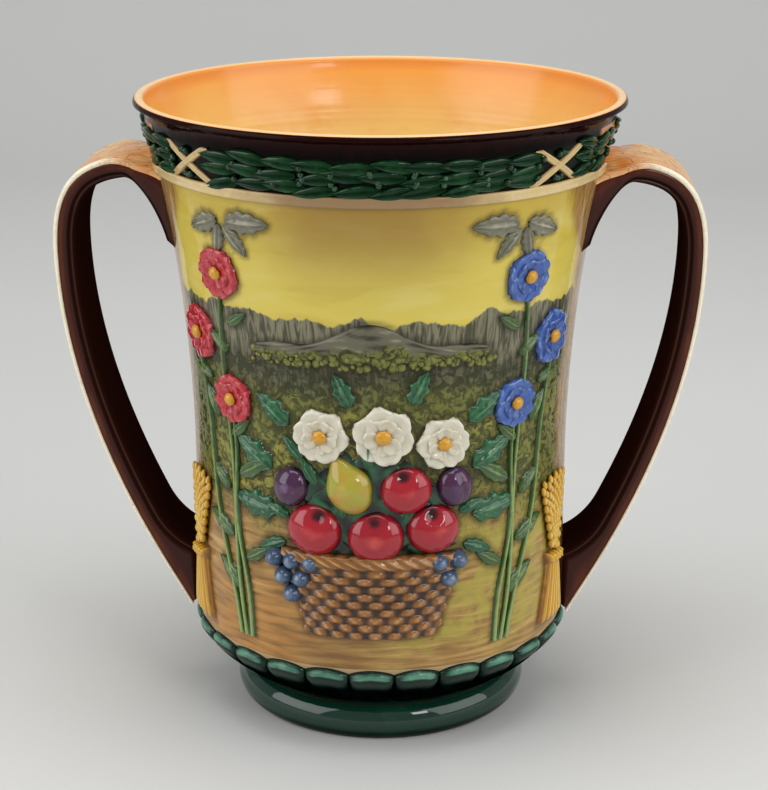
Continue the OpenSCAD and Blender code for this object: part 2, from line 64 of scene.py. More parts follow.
def glaze_colour(code: str) -> Colour:
    """Turns a six-digit colour code into a linear colour with full cover.

    Args:
        code: The six digits.

    Returns:
        The colour.
    """
    parts = [int(code[i : i + 2], 16) / 255 for i in (0, 2, 4)]
    red, green, blue = (c / 12.92 if c <= 0.04045 else ((c + 0.055) / 1.055) ** 2.4 for c in parts)
    return red, green, blue, 1.0


def mix(first: float, second: float, share: float) -> float:
    """Gives the number that lies a share of the way from the first to the second."""
    return first + (second - first) * share


def ease(low: float, high: float, value: float) -> float:
    """Rises smoothly from 0 at low to 1 at high."""
    share = min(1.0, max(0.0, (value - low) / (high - low)))
    return share * share * (3 - 2 * share)


def bump(value: float, width: float) -> float:
    """Gives a soft hump of height 1 at 0 that dies away over the width."""
    return math.exp(-((value / width) ** 2))


def rounded(value: float, power: int) -> float:
    """Gives a hump of height 1 at 0 that ends upright at -1 and 1, squarer for a higher power."""
    return max(0.0, 1 - value**power) ** 0.5


def wave(turns: float) -> float:
    """Gives a wave between 0 and 1 that is at 1 after each whole turn."""
    return 0.5 + 0.5 * math.cos(2 * math.pi * turns)


class Choice(Enum):
    """A choice whose word stands in the names of the nodes."""

    @property
    def word(self) -> str:
        """Names the choice as the nodes do."""
        return self.name.lower()


class Side(Choice):
    """The two panels of the wall, by how far round from the front they lie."""

    FRONT = 0.0
    BACK = 180.0


class Hand(Choice):
    """The two handles, by the direction along X that they stand out in."""

    LEFT = -1.0
    RIGHT = 1.0


class Value:
    """A socket of a glaze's nodes, which takes part in Python expressions."""

    def __init__(self, recipe: "Recipe", socket: bpy.types.NodeSocket) -> None:
        """Keeps the recipe that the socket belongs to.

        Args:
            recipe: The nodes of the material.
            socket: An output of one of them.
        """
        self.recipe = recipe
        self.socket = socket

    def __add__(self, other: "Value | float") -> "Value":
        """Adds."""
        return self.recipe.math("ADD", self, other)

    def __sub__(self, other: "Value | float") -> "Value":
        """Takes the other from this."""
        return self.recipe.math("SUBTRACT", self, other)

    def __rsub__(self, other: float) -> "Value":
        """Takes this from the other."""
        return self.recipe.math("SUBTRACT", other, self)

    def __mul__(self, other: "Value | float") -> "Value":
        """Multiplies."""
        return self.recipe.math("MULTIPLY", self, other)

    def __abs__(self) -> "Value":
        """Drops the sign."""
        return self.recipe.math("ABSOLUTE", self)


Input = Value | float | str | Sequence[float]
Inputs = dict[str | int, Input]


class Recipe:
    """The nodes of one glaze."""

    def __init__(self, name: str) -> None:
        """Starts an empty material.

        Args:
            name: The material's name.
        """
        self.material = bpy.data.materials.new(name)
        self.material.use_nodes = True
        self.tree = self.material.node_tree
        self.tree.nodes.clear()

    def node(self, kind: str, settings: dict, inputs: Inputs) -> bpy.types.Node:
        """Adds a node.

        Args:
            kind: The node's type.
            settings: Its own settings, which are set first.
            inputs: The values, colour codes or links of its sockets, by name or number.

        Returns:
            The node.
        """
        made = self.tree.nodes.new(kind)
        for key, value in settings.items():
            setattr(made, key, value)
        for key, value in inputs.items():
            socket = made.inputs[key]
            if isinstance(value, Value):
                self.tree.links.new(value.socket, socket)
            else:
                socket.default_value = glaze_colour(value) if isinstance(value, str) else value
        return made

    def value(self, kind: str, settings: dict, inputs: Inputs, number: int = 0) -> Value:
        """Adds a node and gives one of its outputs."""
        return Value(self, self.node(kind, settings, inputs).outputs[number])

    def math(self, operation: str, first: Value | float, second: Value | float = 0.0) -> Value:
        """Adds a Math node on two values."""
        return self.value("ShaderNodeMath", {"operation": operation}, {0: first, 1: second})

    def mix(self, share: Value | float, first: Input, second: Input) -> Value:
        """Mixes two colours by a share."""
        inputs = {0: share, 6: first, 7: second}
        return self.value("ShaderNodeMix", {"data_type": "RGBA"}, inputs, 2)

    def smooth(self, value: Value, low: float, high: float) -> Value:
        """Rises smoothly from 0 at low to 1 at high."""
        inputs = {"Value": value, "From Min": low, "From Max": high}
        return self.value("ShaderNodeMapRange", {"interpolation_type": "SMOOTHSTEP"}, inputs)

    def noise(self, place: Value, scale: float, detail: float = 3.0, warp: float = 0.0) -> Value:
        """Gives a cloudy value from 0 to 1 at a place."""
        inputs = {"Vector": place, "Scale": scale, "Detail": detail, "Distortion": warp}
        return self.value("ShaderNodeTexNoise", {}, inputs)

    def cracks(self, place: Value, scale: float) -> Value:
        """Gives the distance to the nearest line of a net of cells."""
        inputs = {"Vector": place, "Scale": scale}
        return self.value("ShaderNodeTexVoronoi", {"feature": "DISTANCE_TO_EDGE"}, inputs)

    def point(self) -> Value:
        """Gives the place on the object, in metres."""
        return self.value("ShaderNodeTexCoord", {}, {}, 3)

    def split(self, place: Value) -> tuple[Value, Value, Value]:
        """Gives the three parts of a place."""
        parts = self.node("ShaderNodeSeparateXYZ", {}, {0: place}).outputs
        return Value(self, parts[0]), Value(self, parts[1]), Value(self, parts[2])

    def vector(self, x: Value | float, y: Value | float, z: Value | float) -> Value:
        """Puts three numbers together as a place."""
        return self.value("ShaderNodeCombineXYZ", {}, {0: x, 1: y, 2: z})

    def mark(self, name: str) -> Value:
        """Reads a mark that the mesh carries on its points."""
        settings = {"attribute_type": "GEOMETRY", "attribute_name": name}
        return self.value("ShaderNodeAttribute", settings, {}, 2)

    def fire(
        self,
        colour: Value,
        roughness: Value | float,
        height: Value,
        depth: float,
        coat: Value | float,
        shine: float = 0.5,
    ) -> None:
        """Puts the colour under a gloss.

        Args:
            colour: The colour of the glaze.
            roughness: How rough its surface is.
            height: The height of its small unevenness, from 0 to 1.
            depth: The depth of that unevenness in metres.
            coat: The weight of the clear coat on top.
            shine: The strength of the reflection under it.
        """
        bumps = {"Strength": 1.0, "Distance": depth, "Height": height}
        shader = self.value(
            "ShaderNodeBsdfPrincipled",
            {},
            {
                "Base Color": colour,
                "Roughness": roughness,
                "IOR": 1.5,
                "Specular IOR Level": shine,
                "Coat Weight": coat,
                "Coat Roughness": 0.03,
                "Normal": self.value("ShaderNodeBump", {}, bumps),
            },
        )
        self.node("ShaderNodeOutputMaterial", {}, {"Surface": shader})


@dataclass(frozen=True)
class Glaze:
    """A glossy glaze that pools dark in hollows and breaks pale on crests.

    The sizes of its mottling and the depth of its unevenness are in millimetres. Its clear coat
    lies on what stands higher than the dry relief, or all over where that is below 0. Where a
    piece marks its relief for light, the pool tone is also painted shade and the crest tone a
    painted highlight.
    """

    name: str
    pool: str
    tone: str
    crest: str
    second: str = ""
    mottle: float = 7.0
    uneven: float = 0.10
    gloss: float = 0.09
    coat: float = 0.7
    breaks: float = 0.62
    shine: float = 0.25
    dry: float = -1.0

    def colour(self, recipe: Recipe) -> Value:
        """Works out the colour from the relief that the mesh carries.

        Args:
            recipe: The nodes to add to.

        Returns:
            The colour.
        """
        cloud = recipe.noise(recipe.point(), 1 / (self.mottle * MM), 4.0, 0.4)
        level = recipe.mark("relief") + (cloud - 0.5) * 0.5
        tone = recipe.mix(recipe.smooth(cloud, 0.3, 0.75), self.tone, self.second or self.tone)
        tone = recipe.mix(recipe.smooth(recipe.mark("tint"), 0.0, 1.0), self.tone, tone)
        dark = recipe.mix(recipe.smooth(level, 0.02, 0.5), self.pool, tone)
        return recipe.mix(recipe.smooth(level, self.breaks, 1.15), dark, self.crest)

    def height(self, recipe: Recipe) -> Value:
        """Gives the small unevenness of the fired surface, from 0 to 1."""
        place = recipe.point()
        return recipe.noise(place, 140.0, 2.0) * 0.8 + recipe.noise(place, 900.0, 3.0) * 0.2

    def material(self) -> bpy.types.Material:
        """Builds the material.

        Returns:
            The material.
        """
        recipe = Recipe(self.name)
        worn = recipe.noise(recipe.point(), 260.0, 3.0)
        coat: Value | float = self.coat
        if self.dry >= 0:
            low, high = self.dry - COAT_FADE, self.dry + COAT_FADE
            coat = recipe.smooth(recipe.mark("relief"), low, high) * self.coat
        recipe.fire(
            self.colour(recipe),
            worn * WEAR + (self.gloss - WEAR / 2),
            self.height(recipe),
            self.uneven * MM,
            coat,
            self.shine,
        )
        return recipe.material


@dataclass(frozen=True)
class InnerGlaze(Glaze):
    """The amber glaze inside the cup, which goes pale on the lip."""

    lip: str = "f6cf98"
    shoulder: str = "e89440"
    top: float = 265.0

    def colour(self, recipe: Recipe) -> Value:
        """Shades the amber down the inside and lightens it at the lip.

        Args:
            recipe: The nodes to add to.

        Returns:
            The colour.
        """
        place = recipe.point()
        _, _, z = recipe.split(place)
        depth = z * PER_METRE - self.top
        cloud = recipe.noise(place, 16.0, 4.0, 0.6)
        tone = recipe.mix(recipe.smooth(cloud, 0.3, 0.75), self.tone, self.crest)
        stain = recipe.noise(place, 42.0, 5.0, 0.8)
        tone = recipe.mix(recipe.smooth(stain, 0.52, 0.74) * 0.35, tone, self.second)
        tone = recipe.mix(recipe.smooth(depth + (cloud - 0.5) * 34, -42.0, -2.0), tone, self.second)
        tone = recipe.mix(recipe.smooth(depth, -8.0, -3.0), tone, self.shoulder)
        return recipe.mix(recipe.smooth(depth + cloud * 0.4, -0.75, 0.2), tone, self.lip)

    def height(self, recipe: Recipe) -> Value:
        """Gives the faint rings of the wheel and the flow of the glaze.

        Args:
            recipe: The nodes to add to.

        Returns:
            The unevenness, from 0 to 1.
        """
        place = recipe.point()
        _, _, z = recipe.split(place)
        rings = recipe.noise(recipe.vector(0.0, 0.0, z), 160.0, 2.0)
        return rings * 0.5 + recipe.noise(place, 60.0, 2.0) * 0.5


@dataclass(frozen=True)
class TreacleGlaze(Glaze):
    """A dark brown glaze that runs down and thins to red-brown on crests."""

    def colour(self, recipe: Recipe) -> Value:
        """Streaks the brown downwards.

        Args:
            recipe: The nodes to add to.

        Returns:
            The colour.
        """
        x, y, z = recipe.split(recipe.point())
        runs = recipe.noise(recipe.vector(x, y, z * 0.18), 150.0, 5.0, 0.5)
        # The relief's dark pools and red-brown crests also carry painted shade and painted
        # highlights.
        level = recipe.mark("relief") * 0.78 + (runs - 0.5) * 0.5
        tone = recipe.mix(recipe.smooth(level, 0.0, 0.5), self.pool, self.tone)
        return recipe.mix(recipe.smooth(level, self.breaks, 1.1), tone, self.crest)


@dataclass(frozen=True)
class CoveGlaze(TreacleGlaze):
    """The dark hollow under the lip, rubbed through to a peach tone above each handle."""

    bare: str = "cf9064"
    from_x: float = 88.0
    below_z: float = 257.2

    def colour(self, recipe: Recipe) -> Value:
        """Shows the peach tone low in the hollow beside the handles.

        Args:
            recipe: The nodes to add to.

        Returns:
            The colour.
        """
        dark = super().colour(recipe)
        place = recipe.point()
        x, _, z = recipe.split(place)
        stray = (recipe.noise(place, 150.0, 3.0) - 0.5) * 3
        beside = recipe.smooth(abs(x) * PER_METRE + stray, self.from_x, self.from_x + 2)
        low = recipe.smooth(z * PER_METRE + stray * 0.4, self.below_z + 0.7, self.below_z - 0.7)
        return recipe.mix(beside * low, dark, self.bare)


@dataclass(frozen=True)
class RootGround(Glaze):
    """The dark ground of the laurel band, tan where the handles' roots spread on to it."""

    root: str = "cfa468"
    from_x: float = 91.5

    def colour(self, recipe: Recipe) -> Value:
        """Turns the ground tan beside the handles.

        Args:
            recipe: The nodes to add to.

        Returns:
            The colour.
        """
        dark = super().colour(recipe)
        place = recipe.point()
        x, _, _ = recipe.split(place)
        stray = (recipe.noise(place, 120.0, 4.0) - 0.5) * 3
        beside = recipe.smooth(abs(x) * PER_METRE + stray, self.from_x, self.from_x + 1.5)
        return recipe.mix(beside, dark, self.root)


@dataclass(frozen=True)
class StrapGlaze(Glaze):
    """The pale strap of a handle, with an incised net of flowing lines, an amber wash and a painted
    highlight along its edges.
    """

    wash: str = "e48a34"
    line: str = "a9702f"
    # The painted highlight along the strap's edges.
    arris: str = "fbf0d6"

    def net(self, recipe: Recipe) -> Value:
        """Gives 1 on the incised lines and 0 between them.

        Args:
            recipe: The nodes to add to.

        Returns:
            The value.
        """
        along, across = recipe.mark("along"), recipe.mark("across")
        drift = recipe.noise(recipe.vector(along * 0.05, across * 0.12, 0.0), 1.0, 2.0)
        place = recipe.vector(along * 0.07 + drift * 1.4, across * 0.5 + drift * 3.4, 0.0)
        return 1 - recipe.smooth(recipe.cracks(place, 1.0), 0.0, 0.07)

    def colour(self, recipe: Recipe) -> Value:
        """Lays the wash, the darkened lines and a painted highlight along the edges over the pale
        glaze.

        Args:
            recipe: The nodes to add to.

        Returns:
            The colour.
        """
        along = recipe.mark("along")
        cloud = recipe.noise(recipe.point(), 70.0, 4.0, 0.8)
        near = recipe.smooth(along + (cloud - 0.5) * 60, 110.0, 50.0)
        root = recipe.smooth(along, 44.0, 12.0)
        tone = recipe.mix(recipe.smooth(cloud, 0.35, 0.75), self.tone, self.crest)
        washed = near * (recipe.smooth(cloud, 0.34, 0.64) * 0.6 + 0.16) + root * 0.24
        tone = recipe.mix(washed, tone, self.wash)
        tone = recipe.mix(self.net(recipe) * 0.6, tone, self.line)
        # A painted highlight along the strap's edges, fainter towards the root.
        worn = recipe.smooth(along, 16.0, 50.0) * 0.85 + 0.15
        pale = recipe.smooth(recipe.mark("relief"), 0.72, 0.95) * worn
        return recipe.mix(pale, tone, self.arris)

    def height(self, recipe: Recipe) -> Value:
        """Cuts the lines into the surface."""
        return recipe.noise(recipe.point(), 140.0, 2.0) * 0.4 + (1 - self.net(recipe)) * 0.6


@dataclass(frozen=True)
class WallPainting(Glaze):
    """The painted ground of the wall: sky, woods and brushed earth between bark-brown borders."""

    sky: str = "d9c55c"
    high_sky: str = "c4a944"
    pale_sky: str = "e4d484"
    dusk: str = "96713a"
    wood: str = "85853f"
    deep_wood: str = "474b22"
    dark_wood: str = "34381a"
    field_green: str = "aba046"
    earth: str = "b08c52"
    dark_earth: str = "805c36"
    pale_earth: str = "cfa96a"
    amber: str = "b97c3c"
    distance: str = "827e66"
    dark_distance: str = "4b4937"
    bark: str = "b48c54"
    dark_bark: str = "80602f"
    panel_r: float = 80.0
    ground_z: float = 104.0
    far_z: float = 158.0
    range_z: float = 174.0
    range_h: float = 30.0
    border: float = 96.5

    def bearings(self, recipe: Recipe) -> tuple[Value, Value, Value]:
        """Gives the place, the millimetres round from a panel's middle and the height of it.

        Args:
            recipe: The nodes to add to.

        Returns:
            The place, the millimetres round and the height.
        """
        place = recipe.point()
        x, y, z = recipe.split(place)
        hand = x * recipe.math("SIGN", y) * -1
        return place, recipe.math("ARCTAN2", hand, abs(y)) * self.panel_r, z * PER_METRE

    def strokes(self, recipe: Recipe, round_by: Value, height: Value) -> Value:
        """Gives the level strokes of the brush on the ground.

        Args:
            recipe: The nodes to add to.
            round_by: Millimetres round from a panel's middle.
            height: Millimetres up.

        Returns:
            The strokes, from 0 to 1.
        """
        sway = recipe.noise(recipe.vector(round_by * 0.03, height * 0.05, 0.0), 1.0, 2.0)
        place = recipe.vector(round_by * 0.045, height * 0.4 + sway * 2.5, 0.0)
        return recipe.noise(place, 1.0, 4.0, 0.2)

    def foliage(self, recipe: Recipe, place: Value) -> Value:
        """Gives the dabbed leaves of the painted woods: dark between the dabs."""
        return recipe.smooth(recipe.noise(place, 330.0, 5.0, 0.9), 0.4, 0.6)

    def skyline(self, recipe: Recipe, round_by: Value) -> Value:
        """Gives the height of the painted range in the distance."""
        peaks = recipe.noise(recipe.vector(round_by * 0.05, 0.0, 7.0), 1.0, 4.0)
        return peaks * self.range_h + self.range_z

    def colour(self, recipe: Recipe) -> Value:
        """Paints the wall by height and by the way round from a panel's middle.

        Args:
            recipe: The nodes to add to.

        Returns:
            The colour.
        """
        place, round_by, height = self.bearings(recipe)
        cloud = recipe.noise(place, 30.0, 5.0, 0.5)
        fine = recipe.noise(place, 150.0, 5.0, 0.6)
        brush = self.strokes(recipe, round_by, height)
        drift, speck = cloud - 0.5, fine - 0.5
        level = height + drift * 40 + speck * 10

        earth = recipe.mix(recipe.smooth(brush, 0.22, 0.66), self.dark_earth, self.earth)
        earth = recipe.mix(recipe.smooth(brush, 0.5, 0.82), earth, self.pale_earth)
        shaded = recipe.smooth(abs(round_by + 22) + drift * 60, 34.0, 8.0)
        shaded *= recipe.smooth(level, 66.0, 46.0)
        earth = recipe.mix(shaded * 0.5, earth, self.dark_earth)
        green = recipe.smooth(round_by + (brush - 0.5) * 70, -6.0, 26.0)
        green *= recipe.smooth(level, 42.0, 60.0)
        earth = recipe.mix(green * recipe.smooth(fine, 0.3, 0.62) * 0.8, earth, self.field_green)
        warm = recipe.smooth(round_by + speck * 40, -18.0, -44.0) * recipe.smooth(level, 92.0, 60.0)
        earth = recipe.mix(warm * recipe.smooth(brush, 0.3, 0.6) * 0.6, earth, self.amber)

        dabs = self.foliage(recipe, place)
        wood = recipe.mix(dabs * (cloud * 0.9 + 0.35), self.deep_wood, self.wood)
        wood = recipe.mix(recipe.smooth(cloud, 0.52, 0.7) * dabs * 0.8, wood, self.field_green)
        tone = recipe.mix(recipe.smooth(level, self.ground_z - 12, self.ground_z + 12), earth, wood)
        sky = recipe.mix(recipe.smooth(height + drift * 30, 206.0, 236.0), self.sky, self.high_sky)
        wisps = recipe.noise(recipe.vector(round_by * 0.03, height * 0.1, 11.0), 1.0, 5.0, 0.6)
        sky = recipe.mix(recipe.smooth(wisps, 0.5, 0.72) * 0.4, sky, self.pale_sky)
        sky = recipe.mix(recipe.smooth(wisps, 0.46, 0.3) * 0.35, sky, self.high_sky)
        dusk = recipe.smooth(abs(round_by) + drift * 40, 52.0, 14.0)
        dusk *= recipe.smooth(height, 192.0, 228.0)
        sky = recipe.mix(dusk * 0.7, sky, self.dusk)
        streaks = recipe.noise(recipe.vector(round_by * 0.6, height * 0.08, 5.0), 1.0, 7.0, 0.8)
        far = recipe.mix(recipe.smooth(streaks, 0.38, 0.6), self.dark_distance, self.distance)
        trees = recipe.smooth(height + drift * 22 + speck * 18, self.range_z, self.range_z - 6)
        far = recipe.mix(trees * (1 - dabs * 0.45), far, self.dark_wood)
        beyond = recipe.smooth(height + drift * 26 + speck * 10, self.far_z - 6, self.far_z + 6)
        tone = recipe.mix(beyond, tone, far)
        over = height - self.skyline(recipe, round_by) + speck * 3
        tone = recipe.mix(recipe.smooth(over, -0.5, 0.5), tone, sky)

        grain = recipe.noise(recipe.vector(round_by * 0.8, height * 0.06, 3.0), 1.0, 5.0, 1.0)
        bark = recipe.mix(recipe.smooth(grain, 0.3, 0.62), self.dark_bark, self.bark)
        spread = recipe.smooth(height, 196.0, 238.0) * 17
        aside = abs(round_by) + spread + drift * 14
        edge = recipe.smooth(aside, self.border - 4.5, self.border + 4.5)
        # Pooled glaze and painted shade darken the wall along the sprigs' edges.
        pooled_shade = recipe.smooth(recipe.mark("relief"), 0.0, 1.0)
        return recipe.mix(pooled_shade * 0.55, recipe.mix(edge, tone, bark), self.pool)

    def height(self, recipe: Recipe) -> Value:
        """Gives the marks of the tool under the glaze: level strokes below, foliage above.

        Args:
            recipe: The nodes to add to.

        Returns:
            The unevenness, from 0 to 1.
        """
        place, round_by, height = self.bearings(recipe)
        woods = recipe.smooth(height, 84.0, 110.0) * recipe.smooth(height, 184.0, 168.0)
        strokes = self.strokes(recipe, round_by, height) * recipe.smooth(height, 130.0, 96.0)
        dabs = self.foliage(recipe, place) * woods * 0.6
        flow = recipe.noise(recipe.vector(round_by * 0.06, height * 0.05, 1.0), 1.0, 2.0, 1.5)
        return strokes * 0.5 + dabs + flow * 0.5


@dataclass(frozen=True)
class HillGlaze(Glaze):
    """The grey of the distant hills, wooded towards their foot."""

    wood: str = "74763a"
    dark_wood: str = "383c1b"

    def colour(self, recipe: Recipe) -> Value:
        """Paints woods over the grey where the hills run down to the fields.

        Args:
            recipe: The nodes to add to.

        Returns:
            The colour.
        """
        bare = super().colour(recipe)
        place = recipe.point()
        dabs = recipe.smooth(recipe.noise(place, 420.0, 4.0, 0.9), 0.4, 0.6)
        woods = recipe.mix(dabs, self.dark_wood, self.wood)
        stray = (recipe.noise(place, 110.0, 4.0, 0.5) - 0.5) * 1.1
        low = recipe.smooth(recipe.mark("across") + stray, 0.62, 0.36)
        return recipe.mix(low, bare, woods)


@dataclass(frozen=True)
class BandGlaze(Glaze):
    """The cream of the flat mouldings, browner towards the middle of a panel."""

    brown: str = "8a6946"

    def colour(self, recipe: Recipe) -> Value:
        """Browns the cream away from the handles.

        Args:
            recipe: The nodes to add to.

        Returns:
            The colour.
        """
        base = super().colour(recipe)
        place = recipe.point()
        x, _, _ = recipe.split(place)
        cloud = recipe.noise(place, 60.0, 4.0, 0.5)
        away = recipe.smooth(abs(x) + (cloud - 0.5) * 0.05, 0.062, 0.022)
        return recipe.mix(away * 0.85, base, self.brown)


HILLS = HillGlaze(
    "hill_grey", "26241c", "6b6856", "a9a68f",
    second="7c795f", mottle=5.0, shine=0.15, coat=0.2,
)
AMBER = InnerGlaze(
    "amber_inside", "c47a30", "f5d07a", "f7da90",
    second="eba048", uneven=0.6, gloss=0.2, coat=0.0, shine=0.4,
)
# Its crest tone is partly a painted highlight on the handles' sides and its pool tone painted shade
# on their inner faces.
TREACLE = TreacleGlaze(
    "treacle_brown", "2a140e", "3c160d", "7a3c20",
    uneven=0.22, coat=0.45, breaks=0.5, shine=0.0, dry=0.22,
)
# Its near-black pool tone paints shade low in the hollow under the lip.
COVE = CoveGlaze(
    "lip_brown", "080202", "1e0705", "4a1c10",
    uneven=0.3, gloss=0.1, coat=0.0, shine=0.06,
)
# Its pool tone is the pooled glaze and painted shade along the sprigs.
WALL = WallPainting(
    "painted_wall", "2a190a", "b98a4b", "e0c080",
    uneven=0.6, gloss=0.1, coat=0.25, shine=0.16,
)
BAND = RootGround("band_ground", "030805", "07160e", "0e2417", gloss=0.2, coat=0.0, shine=0.08)
BISCUIT = Glaze("bare_biscuit", "b79f78", "d3bd94", "e2d0ac", gloss=0.55, coat=0.0)
# Its crest tone paints a highlight along the gadroons' tops and its pool tone paints shade low on
# them.
LOBES = Glaze(
    "lobe_green", "010504", "0b271d", "62977e",
    second="0f3025", gloss=0.08, coat=0.6, breaks=0.74, shine=0.0, dry=0.3,
)
# Its pool tone paints shade in the foot's groove and along its lower edge.
FOOT = Glaze(
    "foot_green", "03110c", "0d3326", "4c8c70",
    second="123d2d", mottle=16.0, gloss=0.07, coat=1.0, shine=0.05, dry=0.34,
)
# Its crest tone paints the highlight lines along the laurel leaves' margins.
LAUREL = Glaze(
    "laurel_green", "010502", "092b14", "4c8a57",
    second="14431f", mottle=4.0, gloss=0.06, coat=0.7, breaks=0.74, shine=0.05, dry=0.6,
)
CREAM = BandGlaze("band_cream", "8a6234", "d8bd86", "f3e4bc", mottle=5.0, coat=0.4)
RIBBON = Glaze("ribbon_cream", "7d5526", "d3b57a", "efdcae", mottle=4.0)
STRAP = StrapGlaze(
    "strap_cream", "b07c3c", "f3cf8c", "f9e4b4",
    uneven=0.35, gloss=0.16, coat=0.0, shine=0.16,
)
STONE = Glaze("stone_grey", "2c2a21", "716e5b", "b7b49d", second="827f62", mottle=5.0, shine=0.2)
OCHRE = Glaze("basket_ochre", "2c1608", "8a5a2a", "cf9f5c", second="70431c", mottle=8.0)
STRAW = Glaze("straw_gold", "7c4a10", "d3a22c", "f3dc7a", second="c0832a", mottle=5.0)
APPLE = Glaze("apple_red", "34050a", "a31a28", "dd5a4a", second="7d0f22", mottle=10.0, breaks=0.8)
PEAR = Glaze("pear_green", "4c4a10", "a3a23a", "dcd67c", second="b98a34", mottle=7.0, breaks=0.8)
PLUM = Glaze("plum_purple", "120c1c", "3f2448", "84709c", second="59203f", mottle=6.0, breaks=0.8)
GRAPE = Glaze("grape_blue", "0e1626", "3c4f6c", "9fb0c4", second="4a6076", mottle=5.0, breaks=0.75)
LEAF = Glaze("leaf_green", "05140c", "1c5434", "6da070", second="2d6b3c", mottle=5.0, breaks=0.7)
IVORY = Glaze("petal_ivory", "6a614a", "d8d2bd", "f5f2e8", second="c9c0a2", mottle=5.0, breaks=0.7)
HEART = Glaze("heart_yellow", "6a3a08", "d49a24", "f0d06a", mottle=2.0)
RED = Glaze("petal_red", "52080f", "bb2b36", "ea8d84", second="a01c30", mottle=5.0, breaks=0.75)
BLUE = Glaze("petal_blue", "13204a", "3a5da6", "b4c8e6", second="2c4584", mottle=5.0, breaks=0.75)
STEM = Glaze("stem_green", "0c1c0a", "3c5a28", "8ea45c", mottle=4.0)
HEDGE = Glaze(
    "hedge_olive", "1d1f0b", "50552a", "9a984c",
    second="73743a", mottle=3.0, shine=0.15, coat=0.2,
)


class Spot(NamedTuple):
    """A point of a piece, with its relief and where it lies along and across the piece."""

    point: Vector
    relief: float
    along: float = 0.0
    across: float = 0.0


BallShape = Callable[[Vector], Spot]
SheetShape = Callable[[float, float], Spot]


class Clay:
    """The mesh of one piece, in millimetres, with marks on its points for the glaze to read."""

    MARKS = ("relief", "tint", "along", "across")

    def __init__(self, name: str) -> None:
        """Starts an empty mesh.

        Args:
            name: The piece's name.
        """
        self.name = name
        self.bm = bmesh.new()
        self.layers = {mark: self.bm.verts.layers.float.new(mark) for mark in self.MARKS}

    def shape(self, verts: Sequence[bmesh.types.BMVert], place: BallShape, tint: float) -> None:
        """Moves points to where a function puts them, and marks them.

        Args:
            verts: The points.
            place: Gives a point's spot from where it is now.
            tint: How much of the glaze's second tone they take.
        """
        for vert in verts:
            spot = place(vert.co)
            vert.co = spot.point
            for mark, value in zip(self.MARKS, (spot.relief, tint, spot.along, spot.across)):
                vert[self.layers[mark]] = value

    def sheet(self, columns: int, rows: int, place: SheetShape, tint: float = 0.0) -> None:
        """Adds a sheet of clay.

        Args:
            columns: Faces along it.
            rows: Faces across it.
            place: Gives a spot from two shares, along and across.
            tint: How much of the glaze's second tone it takes.
        """
        made = bmesh.ops.create_grid(self.bm, x_segments=columns, y_segments=rows, size=0.5)
        self.shape(made["verts"], lambda co: place(co.x + 0.5, co.y + 0.5), tint)

    def ball(self, detail: int, place: BallShape, tint: float = 0.0) -> None:
        """Adds a ball of clay, pressed into shape from a sphere of radius 1."""
        made = bmesh.ops.create_icosphere(self.bm, subdivisions=detail, radius=1.0)
        self.shape(made["verts"], place, tint)

    def grain(self, place: BallShape, tint: float = 0.0) -> None:
        """Adds a small ball with few faces."""
        made = bmesh.ops.create_uvsphere(self.bm, u_segments=7, v_segments=5, radius=1.0)
        self.shape(made["verts"], place, tint)

    def turn(self, profile: Profile, steps: int, start: float = 0.0, angle: float = 360.0) -> None:
        """Turns a profile about the axis.

        Args:
            profile: Radii and heights.
            steps: Faces round it.
            start: Degrees round from the right where the turn starts.
            angle: Degrees that it goes on for.
        """
        x, y = math.cos(math.radians(start)), math.sin(math.radians(start))
        verts = [self.bm.verts.new((r * x, r * y, z)) for r, z in profile]
        edges = [self.bm.edges.new(pair) for pair in zip(verts, verts[1:])]
        bmesh.ops.spin(
            self.bm,
            geom=verts + edges,
            cent=(0, 0, 0),
            axis=(0, 0, 1),
            dvec=(0, 0, 0),
            angle=math.radians(angle),
            steps=steps,
            use_merge=angle >= 360,
        )

    def mark_relief(self, rule: Callable[[Vector], float]) -> None:
        """Marks every point's relief by a rule on its place."""
        for vert in self.bm.verts:
            vert[self.layers["relief"]] = rule(vert.co)

    def close(self) -> None:
        """Merges seams, fills the open backs and ends and turns all faces outwards."""
        bmesh.ops.remove_doubles(self.bm, verts=self.bm.verts, dist=MERGE)
        rim = [edge for edge in self.bm.edges if edge.is_boundary]
        for edge in rim:
            edge.smooth = False
        if rim:
            bmesh.ops.holes_fill(self.bm, edges=rim, sides=0)
        bmesh.ops.recalc_face_normals(self.bm, faces=self.bm.faces)

    def fire(
        self,
        glazes: Sequence[bpy.types.Material],
        slot: str,
        nodes: Sequence[str],
        zone: Callable[[Vector], int] | None = None,
    ) -> bpy.types.Object:
        """Makes the finished piece.

        Args:
            glazes: Its materials.
            slot: Not used.
            nodes: The nodes that it stands for.
            zone: Gives a face's material from its middle, where there is more than one.

        Returns:
            The piece.
        """
        self.close()
        for face in self.bm.faces:
            face.smooth = True
            face.material_index = zone(face.calc_center_median()) if zone else 0
        bmesh.ops.scale(self.bm, vec=(MM, MM, MM), verts=self.bm.verts)
        mesh = bpy.data.meshes.new(self.name)
        self.bm.to_mesh(mesh)
        self.bm.free()
        for glaze in glazes:
            mesh.materials.append(glaze)
        piece = bpy.data.objects.new(self.name, mesh)
        bpy.context.scene.collection.objects.link(piece)
        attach(piece, BODY)
        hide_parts(*nodes)
        LOG.info("%s: %d faces", self.name, len(mesh.polygons))
        return piece


